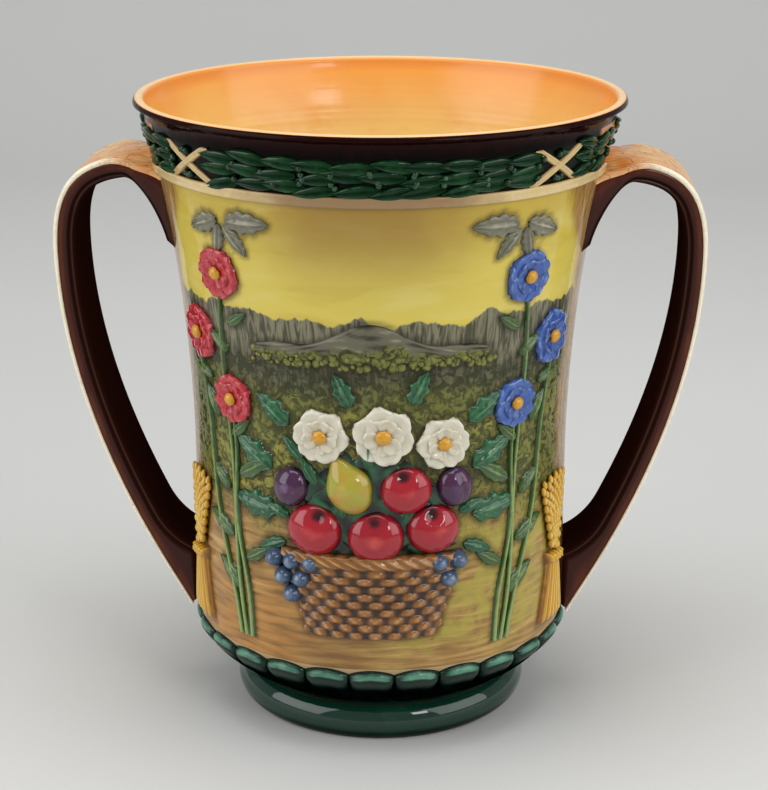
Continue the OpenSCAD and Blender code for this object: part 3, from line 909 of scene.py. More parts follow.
class Footprints:
    """Where the sprigs meet the wall, for pooled glaze and painted shade to darken the wall along.
    """

    REACH = 0.5

    def __init__(self) -> None:
        """Starts with none pressed on."""
        self.points: list[Vector] = []
        self.tree: kdtree.KDTree | None = None

    def take(self, clay: Clay, wall_at: Callable[[float], float]) -> None:
        """Keeps the points of a sprig that lie on the wall.

        Args:
            clay: The sprig.
            wall_at: Gives the wall's radius at a height.
        """
        for co in (vert.co for vert in clay.bm.verts):
            if math.hypot(co.x, co.y) - wall_at(co.z) < self.REACH:
                self.points.append(co.copy())

    def nearness(self, at: Vector, width: float) -> float:
        """Gives 1 at the edge of a sprig and 0 well away from all of them.

        Args:
            at: A place on the wall.
            width: How far the pooled glaze and painted shade spread.

        Returns:
            The nearness.
        """
        if self.tree is None:
            self.tree = kdtree.KDTree(len(self.points))
            for number, point in enumerate(self.points):
                self.tree.insert(point, number)
            self.tree.balance()
        return bump(self.tree.find(at)[2], width)


class Shelf:
    """The fired materials, each made once."""

    def __init__(self) -> None:
        """Starts with none made."""
        self.made: dict[str, bpy.types.Material] = {}

    def get(self, glaze: Glaze) -> bpy.types.Material:
        """Gives a glaze's material, and makes it the first time.

        Args:
            glaze: The glaze.

        Returns:
            The material.
        """
        if glaze.name not in self.made:
            self.made[glaze.name] = glaze.material()
        return self.made[glaze.name]


@dataclass(frozen=True)
class CupForm:
    """The lines of the cup in millimetres, which every piece is set out from."""

    height: float = 265.0
    wall_r: float = 79.8
    wall_t: float = 5.0
    flare_z: float = 110.0
    flare_r: float = 617.0
    belly_z: float = 41.0
    belly_r: float = 55.0
    belly_tilt: float = 28.0
    lip_h: float = 10.5
    lip_out: float = 2.18
    lip_t: float = 5.0
    lip_ease: float = 12.0
    band_h: float = 14.0
    moulding_h: float = 4.8
    moulding_t: float = 1.8
    root_w: float = 51.9

    @property
    def belly_cx(self) -> float:
        """Radius at which the belly's curve has its centre."""
        return self.wall_r - self.belly_r * math.cos(math.radians(self.belly_tilt))

    @property
    def belly_cz(self) -> float:
        """Height at which the belly's curve has its centre."""
        return self.belly_z + self.belly_r * math.sin(math.radians(self.belly_tilt))

    @property
    def base_z(self) -> float:
        """Height of the underside of the base."""
        return self.belly_cz - self.belly_r

    @property
    def lip_edge_r(self) -> float:
        """Radius of the lip's outer edge."""
        return self.wall_at(self.height) + self.lip_out

    @property
    def lip_cz(self) -> float:
        """Height of the middle of the rounded lip."""
        return self.height - self.lip_t / 2

    @property
    def cove_z(self) -> float:
        """Height of the foot of the hollow under the lip."""
        return self.height - self.lip_h

    @property
    def band_z(self) -> float:
        """Height of the foot of the laurel band."""
        return self.cove_z - self.band_h

    @property
    def moulding_z(self) -> float:
        """Height of the foot of the flat moulding."""
        return self.band_z - self.moulding_h

    @property
    def root_turn(self) -> float:
        """Degrees that a handle's root takes up on one side of its middle."""
        return math.degrees(math.asin(self.root_w / 2 / self.wall_at(self.moulding_z)))

    def wall_at(self, z: float) -> float:
        """Gives the wall's radius at a height."""
        over = max(0.0, z - self.flare_z)
        return self.wall_r + self.flare_r - math.sqrt(self.flare_r**2 - over * over)

    def inner_at(self, z: float) -> float:
        """Gives the radius of the wall's inner face, which is eased out to the lip.

        Args:
            z: The height.

        Returns:
            The radius.
        """
        lip_in = self.lip_edge_r - self.lip_t - self.wall_at(self.lip_cz) + self.wall_t
        reach = self.lip_h + self.lip_ease
        share = max(0.0, (z - self.lip_cz + reach) / reach)
        return self.wall_at(z) - self.wall_t + lip_in * share * share

    def on_wall(self, turn: float, z: float, lift: float) -> Vector:
        """Gives a point on the wall, at degrees round from the front, lifted off it."""
        r = self.wall_at(z) + lift
        return Vector((r * math.sin(math.radians(turn)), -r * math.cos(math.radians(turn)), z))

    def arc(self, radius: float, start: float, end: float, steps: int) -> list[Point]:
        """Gives points of a curve about the belly's centre, between two angles.

        Args:
            radius: The curve's radius.
            start: Degrees at which it starts.
            end: Degrees at which it ends.
            steps: How many lengths it has.

        Returns:
            Radii and heights.
        """
        turns = [math.radians(mix(start, end, i / steps)) for i in range(steps + 1)]
        x, z = self.belly_cx, self.belly_cz
        return [(x + radius * math.cos(t), z + radius * math.sin(t)) for t in turns]


@dataclass(frozen=True)
class Seat:
    """A place on the wall that a sprig is pressed on to.

    It lies round millimetres from the middle of its panel, and its own first axis is turned from
    the level.
    """

    form: CupForm
    side: Side
    round: float
    z: float
    turn: float = 0.0
    mirror: float = 1.0

    def spot(self, x: float, y: float, lift: float) -> Vector:
        """Gives the point that lies at x along and y across the sprig, lifted off the wall.

        Args:
            x: Millimetres along the sprig's own first axis.
            y: Millimetres across it.
            lift: Millimetres off the wall.

        Returns:
            The point.
        """
        lean = math.radians(self.turn)
        level = x * math.cos(lean) - y * math.sin(lean)
        up = x * math.sin(lean) + y * math.cos(lean)
        degrees = math.degrees((self.round + level) / self.form.wall_at(self.z)) * self.mirror
        return self.form.on_wall(self.side.value + degrees, self.z + up, lift)


@dataclass(frozen=True)
class LeafCut:
    """How leaves of one kind are cut and veined."""

    lift: float
    lobes: float
    teeth: int
    veins: float
    columns: int
    rows: int

    def press(self, clay: Clay, seat: Seat, length: float, width: float, tint: float = 0.0) -> None:
        """Presses a leaf on to the wall, from its stalk to its tip.

        Args:
            clay: The piece that it belongs to.
            seat: Where its stalk lies.
            length: Millimetres from stalk to tip.
            width: Millimetres at its widest.
            tint: How much of the glaze's second tone it takes.
        """

        def place(s: float, t: float) -> Spot:
            """Gives a spot of the leaf.

            Args:
                s: The share of the way along it.
                t: The share of the way across it.

            Returns:
                The spot.
            """
            side = 2 * t - 1
            belly = max(0.0, math.sin(math.pi * s**0.8)) ** 0.75
            edge = 1 - self.lobes * wave(self.teeth * s)
            y = side * width / 2 * (0.1 * (1 - s) + 0.94 * belly * edge)
            dome = rounded(side, 4)
            rise = 0.45 + 0.55 * math.sin(math.pi * (0.12 + 0.8 * s))
            rib = bump(side, 0.16)
            vein = self.veins * wave(5 * s - 1.4 * abs(side)) * (1 - rib)
            trough = 0.2 * bump(abs(side) - 0.3, 0.16)
            full = rise * (0.82 + 0.18 * rib - trough - vein)
            lift = -SINK + (self.lift + SINK) * dome * full
            relief = dome * full + 0.25 * bump(abs(side) - 0.86, 0.12) - 0.25 * trough
            return Spot(seat.spot(s * length, y, lift), relief)

        clay.sheet(self.columns, self.rows, place, tint)


@dataclass(frozen=True)
class FruitCut:
    """How fruit of one kind is rounded."""

    stretch: float = 1.0
    taper: float = 0.0
    dimple: float = 0.0
    crease: float = 0.0
    detail: int = 4

    def press(self, clay: Clay, seat: Seat, radius: float, lift: float, tint: float = 0.0) -> None:
        """Presses a fruit on to the wall, with its stalk up.

        Args:
            clay: The piece that it belongs to.
            seat: Where its middle lies.
            radius: Half its width.
            lift: How far it stands out.
            tint: How much of the glaze's second tone it takes.
        """

        def place(co: Vector) -> Spot:
            """Gives a spot of the fruit.

            Args:
                co: A point of a ball of radius 1.

            Returns:
                The spot.
            """
            narrow = 1 - self.taper * ease(-0.1, 1.0, co.y)
            hollow = self.dimple * bump(math.hypot(co.x, co.y - 0.66), 0.26)
            seam = self.crease * bump(co.x - 0.25 * (1 - co.y * co.y), 0.1)
            high = max(0.0, co.z) * (1 - hollow - seam) * narrow**0.6
            low = min(0.0, co.z)
            out = high * lift + low * SINK * 3
            point = seat.spot(co.x * radius * narrow, co.y * radius * self.stretch, out)
            return Spot(point, high * 0.9 + 0.1 * co.y - 1.3 * hollow - seam)

        clay.ball(self.detail, place, tint)


@dataclass(frozen=True)
class BloomCut:
    """How open flowers of one kind are made up."""

    petals: int
    lift: float
    notch: float = 0.06
    overlap: float = 1.08
    heart_r: float = 0.24

    def petal(
        self, clay: Clay, seat: Seat, inner: float, outer: float, lift: float, tint: float
    ) -> None:
        """Presses one petal on to the wall.

        Args:
            clay: The piece that it belongs to.
            seat: The flower's middle, turned to the petal's direction.
            inner: Radius at which it starts.
            outer: Radius of its tip.
            lift: How far it stands out.
            tint: How much of the glaze's second tone it takes.
        """
        half = outer * math.sin(math.pi / self.petals) * self.overlap

        def place(s: float, t: float) -> Spot:
            """Gives a spot of the petal.

            Args:
                s: The share of the way along it.
                t: The share of the way across it.

            Returns:
                The spot.
            """
            side = 2 * t - 1
            belly = max(0.0, math.sin(math.pi * (0.1 + 0.86 * s) ** 1.35)) ** 0.6
            reach = outer * (1 - self.notch * bump(side, 0.3) - 0.2 * side * side)
            x = mix(inner, reach, s)
            dome = rounded(side, 6) * rounded(2 * s - 1, 8)
            cup = 0.62 + 0.3 * s - 0.3 * bump(side, 0.34) * (1 - 0.4 * s) + 0.16 * side * side
            flute = 0.05 * math.cos(7 * math.pi * side) * (1 - s)
            full = cup + flute
            lifted = -SINK + (lift + SINK) * dome * full
            relief = (0.25 + 0.75 * full * (0.4 + 0.6 * s)) * ease(0.1, 0.75, dome)
            return Spot(seat.spot(x, side * half * belly, lifted), relief)

        clay.sheet(9, 8, place, tint)

    def press(self, petals: Clay, hearts: Clay, seat: Seat, radius: float) -> None:
        """Presses a flower on to the wall: two rings of petals and a heart.

        Args:
            petals: The piece that the petals belong to.
            hearts: The piece that the heart belongs to.
            seat: The flower's middle.
            radius: The flower's radius.
        """
        for ring, (share, height) in enumerate(((1.0, 0.8), (0.66, 0.95))):
            for i in range(self.petals):
                turn = seat.turn + 90 + (i + 0.5 * ring) * 360 / self.petals
                at = Seat(seat.form, seat.side, seat.round, seat.z, turn, seat.mirror)
                lift = height * self.lift * (0.86 + 0.14 * (i % 2))
                tint = 0.5 * ring + 0.3 * (i % 2)
                self.petal(petals, at, 0.1 * radius, share * radius, lift, tint)

        def heart(co: Vector) -> Spot:
            """Gives a spot of the heart.

            Args:
                co: A point of a ball of radius 1.

            Returns:
                The spot.
            """
            pits = 0.5 + 0.5 * math.cos(9 * co.x * math.pi) * math.cos(9 * co.y * math.pi)
            high = max(0.0, co.z)
            lift = self.lift * (0.55 + 0.5 * high) + min(0.0, co.z)
            half = self.heart_r * radius
            return Spot(seat.spot(co.x * half, co.y * half, lift), 0.35 * high + 0.5 * pits)

        hearts.ball(3, heart)


@dataclass
class Vessel:
    """The thrown body of the cup, its foot ring and the gadroon collar between them."""

    form: CupForm
    shelf: Shelf
    footprints: Footprints
    foot_r: float = 63.4
    foot_w: float = 18.4
    foot_top: float = 15.0
    foot_gap: float = 2.0
    fillet_h: float = 2.2
    collar_low_r: float = 58.5
    lobes: int = 26
    lobe_h: float = 3.2
    collar_t: float = 0.9
    scallop: float = 3.0
    around: int = 320
    pool_w: float = 1.8

    def outline(self) -> list[Point]:
        """Gives the profile of the body from the middle of its underside over the lip to its floor.

        Returns:
            Radii and heights.
        """
        form = self.form
        inner_r = form.belly_r - form.wall_t
        inner_turn = math.degrees(math.acos((form.wall_r - form.wall_t - form.belly_cx) / inner_r))
        wall = [mix(form.belly_z, form.cove_z, i / 125) for i in range(1, 126)]
        cove = [math.pi / 2 * i / 10 for i in range(1, 11)]
        cove_foot = form.wall_at(form.cove_z)
        cove_r = [mix(cove_foot, form.lip_edge_r, 1 - math.cos(t)) for t in cove]
        cove_z = [mix(form.cove_z, form.lip_cz, math.sin(t)) for t in cove]
        half = form.lip_t / 2
        lip_c, lip_rise = form.lip_edge_r - half, half - 0.02
        lip = [math.pi * i / 18 for i in range(1, 19)]
        inside = [mix(form.lip_cz, form.flare_z, i / 40) for i in range(1, 41)]
        return [
            (0.0, form.base_z),
            *form.arc(form.belly_r, -90, -form.belly_tilt, 16),
            *((form.wall_at(z), z) for z in wall),
            *zip(cove_r, cove_z),
            *((lip_c + half * math.cos(t), form.lip_cz + lip_rise * math.sin(t)) for t in lip),
            *((form.inner_at(z), z) for z in inside),
            *form.arc(inner_r, -inner_turn, -90, 20),
            (0.0, form.base_z + form.wall_t),
        ]

    def zone(self, at: Vector) -> int:
        """Tells which glaze a face of the body takes: inside, hollow, band, wall or base.

        Args:
            at: The middle of the face.

        Returns:
            The number of the glaze.
        """
        form = self.form
        r = math.hypot(at.x, at.y)
        half = form.wall_t / 2
        outer = r > form.lip_edge_r - form.lip_t / 2
        if at.z > form.lip_cz + (1.75 if outer else 0.0):
            return 0
        if at.z < form.belly_z:
            out = max(0.0, r - form.belly_cx)
            deep = math.hypot(out, at.z - form.belly_cz) < form.belly_r - half
            return 0 if deep else 4
        if r < mix(form.inner_at(at.z), form.wall_at(at.z), 0.5):
            return 0
        return 1 if at.z > form.cove_z else 2 if at.z > form.band_z - 2 else 3

    def body(self) -> None:
        """Makes the body."""
        clay = Clay("cup_body")
        clay.turn(self.outline(), self.around)
        clay.mark_relief(self.body_relief)
        glazes = [self.shelf.get(glaze) for glaze in (AMBER, COVE, BAND, WALL, BISCUIT)]
        clay.fire(glazes, "honey_glaze", ["body"], self.zone)

    def body_relief(self, at: Vector) -> float:
        """Marks pooled glaze with painted shade along the sprigs, and painted shade deepening down
        the hollow under the lip.

        Args:
            at: The point.

        Returns:
            The relief.
        """
        form = self.form
        if at.z > form.cove_z:
            # In the hollow under the lip the relief rises towards the lip, so painted shade deepens
            # towards the hollow's foot.
            return ease(form.cove_z, form.lip_cz, at.z) * 0.8
        outside = math.hypot(at.x, at.y) > form.wall_at(at.z) - 1
        on_wall = outside and form.belly_z <= at.z <= form.moulding_z
        return self.footprints.nearness(at, self.pool_w) if on_wall else 0.0

    def foot(self) -> None:
        """Makes the rolled foot ring."""
        form = self.form
        roll = self.foot_top / 2 + 1.5
        centre_r, centre_z = self.foot_r - roll, self.foot_top / 2
        tilt = math.asin(self.foot_top / 2 / roll)
        neck = self.collar_low_r - self.foot_gap
        inner = self.foot_r - self.foot_w

        def belly(r: float) -> float:
            """Gives the height of the body's underside at a radius."""
            return form.belly_cz - math.sqrt(form.belly_r**2 - max(0.0, r - form.belly_cx) ** 2)

        turns = [mix(-tilt, tilt, i / 18) for i in range(19)]
        roll_line = [(centre_r + roll * math.cos(t), centre_z + roll * math.sin(t)) for t in turns]
        last_r, last_z = roll_line[-1]
        bends = [math.pi / 2 * i / 6 for i in range(1, 7)]
        fillet = [
            (mix(last_r, neck, math.sin(t)), last_z + self.fillet_h * (1 - math.cos(t)))
            for t in bends
        ]
        seat = [mix(neck, inner, i / 8) for i in range(9)]
        clay = Clay("foot_ring")
        start = (inner, 1.2)
        edge = [start, (inner + 0.5, 0.35), (inner + 1.4, 0.0)]
        clay.turn([*edge, *roll_line, *fillet, *((r, belly(r)) for r in seat), start], self.around)
        clay.mark_relief(lambda co: self.foot_relief(math.hypot(co.x, co.y), co.z, neck))
        clay.fire([self.shelf.get(FOOT)], "green_glaze", ["foot"])

    def foot_relief(self, r: float, z: float, neck: float) -> float:
        """Lightens the foot over its roll, where light falls, and darkens its groove and its lower
        edge with painted shade.
        """
        return 0.1 + 0.5 * ease(neck - 1.0, self.foot_r - 3.0, r) * ease(1.5, 8.0, z)

    def collar(self) -> None:
        """Makes the collar of gadroons, each lobe highest near its rounded top."""
        form = self.form
        low = math.degrees(math.acos((self.collar_low_r - form.belly_cx) / form.belly_r))
        per_lobe = 20

        def place(s: float, t: float) -> Spot:
            """Gives a spot of the collar, from its top edge down and round.

            Args:
                s: The share of the way down.
                t: The share of the way round.

            Returns:
                The spot.
            """
            step = t * self.lobes * per_lobe
            lobe = round(step) // per_lobe
            across = math.sin(math.pi / 2 * (2 * (round(step) % per_lobe) / per_lobe - 1))
            turn = math.radians((lobe + across / 2) * 360 / self.lobes)
            swell = rounded(across, 4)
            edge = math.sqrt(1 - (1 - min(1.0, s / 0.16)) ** 2)
            lift = -SINK + edge * (SINK + self.collar_t + self.lobe_h * swell * (1 - 0.55 * s))
            if s > 0.99:
                lift = -SINK
            dip = math.radians(mix(form.belly_tilt + 0.4 + self.scallop * across * across, low, s))
            r = form.belly_r + lift
            out = form.belly_cx + r * math.cos(dip)
            z = form.belly_cz - r * math.sin(dip)
            point = Vector((out * math.sin(turn), -out * math.cos(turn), z))
            # The crest along each lobe's top is a painted highlight, and the relief falling away
            # down the lobe paints shade on its lower part.
            crest = math.sqrt(swell) * bump(s - 0.05, 0.045)
            return Spot(point, 0.02 + 0.46 * swell * (1 - ease(0.08, 0.44, s)) + 0.62 * crest)

        clay = Clay("gadroon_lobes")
        clay.sheet(30, self.lobes * per_lobe, place)
        bmesh.ops.remove_doubles(clay.bm, verts=clay.bm.verts, dist=MERGE)
        rims = [edge for edge in clay.bm.edges if edge.is_boundary]
        bmesh.ops.bridge_loops(clay.bm, edges=rims)
        clay.fire([self.shelf.get(LOBES)], "green_glaze", ["gadroon_collar"])

    def build(self) -> None:
        """Makes all the turned pieces."""
        self.body()
        self.foot()
        self.collar()


@dataclass
class LaurelBand:
    """The laurel garlands, crossed ribbons and flat mouldings round the neck."""

    form: CupForm
    shelf: Shelf
    leaf_l: float = 18.5
    leaf_w: float = 6.3
    leaf_h: float = 2.2
    pitch: float = 14.5
    row_gap: float = 4.2
    berry_r: float = 1.45
    cross_turn: float = 48.5
    cross_w: float = 25.0
    ribbon_w: float = 2.8
    ribbon_t: float = 1.9
    moulding_gap: float = 21.0
    draw: random.Random = field(default_factory=lambda: random.Random(BAND_SEED))

    @property
    def middle(self) -> float:
        """Height of the middle of the band."""
        return self.form.band_z + self.form.band_h / 2

    def degrees(self, length: float) -> float:
        """Turns a length along the band into degrees."""
        return math.degrees(length / self.form.wall_at(self.middle))

    def seat(self, turn: float, z: float, lean: float) -> Seat:
        """Gives the seat at degrees round from the front."""
        return Seat(self.form, Side.FRONT, math.radians(turn) * self.form.wall_at(z), z, lean)

    def leaf(self, clay: Clay, seat: Seat, tint: float) -> None:
        """Presses one long leaf on to the band, hollow along its rib and raised along its margins,
        with a painted highlight line just inside them.

        Args:
            clay: The piece that it belongs to.
            seat: Where its stalk lies.
            tint: How much of the glaze's second tone it takes.
        """

        def place(s: float, t: float) -> Spot:
            """Gives a spot of the leaf.

            Args:
                s: The share of the way along it.
                t: The share of the way across it.

            Returns:
                The spot.
            """
            side = 2 * t - 1
            belly = max(0.0, math.sin(math.pi * (0.05 + 0.95 * s) ** 0.85)) ** 0.75
            dome = rounded(side, 4)
            rise = 0.55 + 0.45 * ease(0.0, 0.6, s) - 0.3 * ease(0.8, 1.0, s)
            margin = bump(abs(side) - 0.58, 0.24)
            rib = bump(side, 0.12)
            full = rise * (0.84 + 0.16 * margin - 0.12 * rib)
            lift = -SINK + (self.leaf_h + SINK) * dome * full
            # A pale line just inside each margin is a painted highlight along the leaf's edge.
            line = 0.34 * bump(abs(side) - 0.75, 0.08) * ease(0.05, 0.4, s)
            relief = dome * (0.26 + 0.3 * rise + 0.14 * margin * rise) - 0.22 * rib + line
            return Spot(seat.spot(s * self.leaf_l, side * self.leaf_w / 2 * belly, lift), relief)

        clay.sheet(9, 8, place, tint)

    def berry(self, clay: Clay, seat: Seat) -> None:
        """Presses one berry on to the band.

        Args:
            clay: The piece that it belongs to.
            seat: Where it lies.
        """

        def place(co: Vector) -> Spot:
            """Gives a spot of the berry."""
            lift = 0.9 + co.z * self.berry_r
            return Spot(seat.spot(co.x * self.berry_r, co.y * self.berry_r, lift), 0.4 + 0.5 * co.z)

        clay.grain(place)

    def row(self, clay: Clay, row: int, start: float, end: float, way: float) -> None:
        """Presses one row of leaves on to the band, tips to the left, with berries at their stalks.

        Args:
            clay: The piece that they belong to.
            row: -1 for the lowest row, 0 or 1.
            start: Degrees round at which it starts.
            end: Degrees round at which it ends.
            way: The direction from start to end.
        """
        form = self.form
        leaf_turn = self.degrees(self.leaf_l)
        room = abs(end - start) - leaf_turn
        count = max(1, round(room / self.degrees(self.pitch)))
        shift = 0.0 if row else 0.5
        last = count if row else count - 1
        for i in range(last + 1):
            stray = self.draw.uniform(-0.22, 0.22) if 0 < i < last else 0.0
            edge = end - way * (i + shift + stray) * room / count
            stalk = edge if way > 0 else edge + leaf_turn
            z = self.middle + row * self.row_gap + self.draw.uniform(-0.4, 0.4)
            lean = 180 - 5 * row + self.draw.uniform(-8, 8)
            self.leaf(clay, self.seat(stalk, z, lean), self.draw.random())
            for j in range(self.draw.randint(1, 2) if row else 0):
                beside = stalk - self.degrees(self.draw.uniform(0.0, 3.0))
                drop = row * self.row_gap * self.draw.uniform(0.35, 0.65)
                high = z - drop + (j - 0.5) * self.draw.uniform(1.4, 2.4)
                inside = min(max(high, form.band_z + 2.0), form.cove_z - 2.0)
                self.berry(clay, self.seat(beside, inside, 0.0))

    def garland(
        self, where: str, start: float, end: float, crossed: bool, over_root: float
    ) -> None:
        """Makes one length of garland.

        Args:
            where: The word for its place in the names.
            start: Degrees round at which it starts, at a crossed ribbon.
            end: Degrees round at which it ends.
            crossed: Whether it ends at another crossed ribbon.
            over_root: Degrees that its top row runs on over a handle's root.
        """
        clay = Clay(f"laurel_{where}")
        way = 1.0 if end > start else -1.0
        slope = self.cross_w / (self.form.band_h - self.ribbon_w)
        for row in (-1, 1, 0):
            clear = self.degrees(0.6 * self.ribbon_w + abs(row) * self.row_gap * slope * 0.8)
            first = start + way * clear
            last = end - way * clear if crossed else end + way * (1.0, 4.0, over_root)[row + 1]
            self.row(clay, row, first, last, way)
        for step in () if crossed else (-1.6, 0.0, 1.6):
            for up in (-1, 1):
                high = self.middle + up * (5.2 - 0.35 * abs(step))
                self.berry(clay, self.seat(start + self.degrees(step), high, 0.0))
        clay.fire([self.shelf.get(LAUREL)], "laurel_glaze", [f"garland_{where}"])

    def cross(self, where: str, turn: float) -> None:
        """Makes one pair of crossed ribbons.

        Args:
            where: The word for its place in the names.
            turn: Degrees round from the front at which they cross.
        """
        form = self.form
        clay = Clay(f"ribbons_{where}")
        rise = form.band_h + 1.6
        wide = self.cross_w * rise / (form.band_h - self.ribbon_w) * 0.8
        length = math.hypot(wide, rise)
        for side, lift in ((1.0, self.ribbon_t), (-1.0, 0.8 * self.ribbon_t)):
            seat = self.seat(turn, self.middle, math.degrees(math.atan2(rise, side * wide)))

            def place(s: float, t: float, seat: Seat = seat, lift: float = lift) -> Spot:
                """Gives a spot of the ribbon.

                Args:
                    s: The share of the way along it.
                    t: The share of the way across it.
                    seat: Where it lies.
                    lift: How far it stands out.

                Returns:
                    The spot.
                """
                across = 2 * t - 1
                dome = rounded(across, 6)
                hem = 0.2 * bump(abs(across) - 0.66, 0.18)
                full = 0.8 + hem - 0.4 * abs(2 * s - 1) ** 3
                high = -SINK + (lift + SINK) * dome * full
                point = seat.spot((s - 0.5) * length, across * self.ribbon_w / 2, high)
                point.z = min(max(point.z, form.band_z - 0.4), form.cove_z + 0.3)
                return Spot(point, dome * (0.4 + 2.4 * hem))

            clay.sheet(26, 8, place)
        clay.fire([self.shelf.get(RIBBON)], "cream_glaze", [f"ribbon_{where}"])

    def moulding(self, side: Side) -> None:
        """Makes the flat moulding of one panel, from one handle's root to the other.

        Args:
            side: The panel.
        """
        form = self.form
        clay = Clay(f"flat_moulding_{side.word}")
        section = []
        for i in range(15):
            t = -1 + 2 * i / 14
            z = form.moulding_z + form.moulding_h * (t + 1) / 2
            out = rounded(t, 8) * (0.9 + 0.1 * abs(t))
            section.append((form.wall_at(z) - SINK + (form.moulding_t + SINK) * out, z))
        span = 180 - 2 * math.degrees(math.asin(self.moulding_gap / form.wall_at(form.moulding_z)))
        clay.turn([*section, section[0]], 90, side.value - 90 - span / 2, span)
        full = form.moulding_t / 0.75
        clay.mark_relief(lambda co: (math.hypot(co.x, co.y) - form.wall_at(co.z)) / full)
        clay.fire([self.shelf.get(CREAM)], "cream_glaze", [f"neck_moulding_{side.word}"])

    def build(self) -> None:
        """Makes the whole band."""
        cross, root = self.cross_turn, self.form.root_turn
        for side in Side:
            self.moulding(side)
            self.garland(side.word, side.value - cross, side.value + cross, True, 0.0)
        corners = {
            "front_right": (cross, 90 - root),
            "front_left": (-cross, root - 90),
            "back_right": (180 - cross, 90 + root),
            "back_left": (180 + cross, 270 - root),
        }
        for corner, (start, end) in corners.items():
            self.garland(corner, start, end, False, root)
            self.cross(corner, start)


@dataclass
class Handle:
    """One strap handle: a dark core with a pale strap down its outside."""

    form: CupForm
    shelf: Shelf
    hand: Hand
    reach: float = 55.2
    root_z: float = 242.5
    elbow_z: float = 202.5
    tail_z: float = 42.0
    root_w: float = 50.0
    root_h: float = 39.5
    root_run: float = 12.0
    root_droop: float = 9.0
    width: float = 42.0
    tail_w: float = 35.0
    tail_swell: float = 45.0
    thickness: float = 9.0
    strap_t: float = 2.0
    strap_over: float = 0.5
    bend: float = 0.4
    stations: int = 150
    core_end: float = 0.99
    strap_l: float = 262.0
    spread_end: float = 0.2
    droop_end: float = 0.14
    swell_from: float = 0.77

    CORE = (
        (0.985, 0.0), (1.0, 0.05), (1.008, 0.15), (1.01, 0.28), (1.006, 0.42), (0.992, 0.54),
        (0.968, 0.62), (0.957, 0.66), (0.96, 0.71), (0.972, 0.75), (0.974, 0.8), (0.964, 0.86),
        (0.935, 0.93), (0.88, 0.98), (0.8, 1.0), (0.6, 1.0), (0.3, 1.0), (0.0, 1.0),
    )
    STRAP = (
        (0.985, 1.0), (1.0, 0.85), (1.0, 0.35), (0.985, 0.08), (0.95, -0.1), (0.905, -0.13),
        (0.87, -0.05), (0.8, 0.0), (0.65, -0.06), (0.5, -0.1), (0.35, -0.14), (0.2, -0.16),
        (0.0, -0.17),
    )

    def line(self, s: float) -> tuple[Vector, Vector]:
        """Gives the place on the outer line and its direction there.

        Args:
            s: The share of the way from the root to the tail.

        Returns:
            The radius and height, and the slope.
        """
        form = self.form
        elbow = form.wall_r + self.reach
        root = form.wall_at(self.root_z)
        if s <= self.bend:
            t = s / self.bend
            points = (
                (root, self.root_z),
                (mix(root, elbow, 0.39), self.root_z - 3.2),
                (elbow, mix(self.root_z, self.elbow_z, 0.02)),
                (elbow, self.elbow_z),
            )
        else:
            t = (s - self.bend) / (1 - self.bend)
            points = (
                (elbow, self.elbow_z),
                (elbow, mix(self.elbow_z, self.tail_z, 0.48)),
                (form.wall_r + 0.19 * self.reach, mix(self.elbow_z, self.tail_z, 0.9)),
                (form.wall_r + self.strap_t + 0.3, self.tail_z),
            )
        a, b, c, d = (Vector(p) for p in points)
        u = 1 - t
        place = u**3 * a + 3 * t * u * u * b + 3 * t * t * u * c + t**3 * d
        slope = u * u * (b - a) + 2 * t * u * (c - b) + t * t * (d - c)
        return place, slope.normalized()

    def strap_w(self, s: float) -> float:
        """Gives the strap's width along the handle."""
        spread = (self.root_w - self.width) * max(0.0, 1 - s / self.spread_end) ** 2
        return mix(self.width, self.tail_w, s) + spread + 2 * self.strap_over

    def strap_deep(self, s: float) -> float:
        """Gives the strap's thickness along the handle, which thins out towards the tail."""
        return self.strap_t * mix(1.0, 0.55, ease(0.1, 0.9, s))

    def full(self, s: float) -> float:
        """Gives the thickness along the handle, hollowed at its root and swelling at its tail.

        Args:
            s: The share of the way from the root to the tail.

        Returns:
            The thickness.
        """
        place, slope = self.line(s)
        if s < self.bend:
            run = self.form.wall_at(self.root_z) + self.root_run - place.x
            near = min(1.0, max(0.0, run / self.root_run))
            hollow = 1 - math.sqrt(1 - near * near)
            return mix(self.thickness, self.root_h, hollow)
        swell = self.tail_swell * max(0.0, (s - self.swell_from) / (1 - self.swell_from)) ** 2
        to_wall = (place.x - self.form.wall_r) / -slope.y + 3
        return min(self.thickness + swell, to_wall)

    def on_handle(self, s: float, across: float, half: float, n: float, sag: float) -> Vector:
        """Gives a point of a section, kept on the wall.

        Args:
            s: The share of the way from the root to the tail.
            across: The share of the half width from the middle.
            half: The half width.
            n: Millimetres inwards from the outer line.
            sag: How much of the root's droop the point takes.

        Returns:
            The point.
        """
        place, slope = self.line(s)
        droop = self.root_droop * max(0.0, 1 - s / self.droop_end) ** 2
        deep = n + sag * droop * across * across
        y = across * half
        r, z = place.x + deep * slope.y, place.y - deep * slope.x
        limit = math.sqrt((self.form.wall_at(z) - SINK) ** 2 - y * y)
        free = mix(1.0, ease(-0.02, 0.05, s), sag) if s > 0 else 0.0
        out = mix(limit, max(r, limit), free)
        return Vector((self.hand.value * out, y, z))

    def ring(self, half: Profile, t: float) -> Point:
        """Gives a section's point at a share of the way round both its halves."""
        both = [*half, *((-y, n) for y, n in reversed(half[:-1])), half[0]]
        return both[round(t * (len(both) - 1))]

    def core(self) -> None:
        """Makes the dark core, with its beaded sides."""

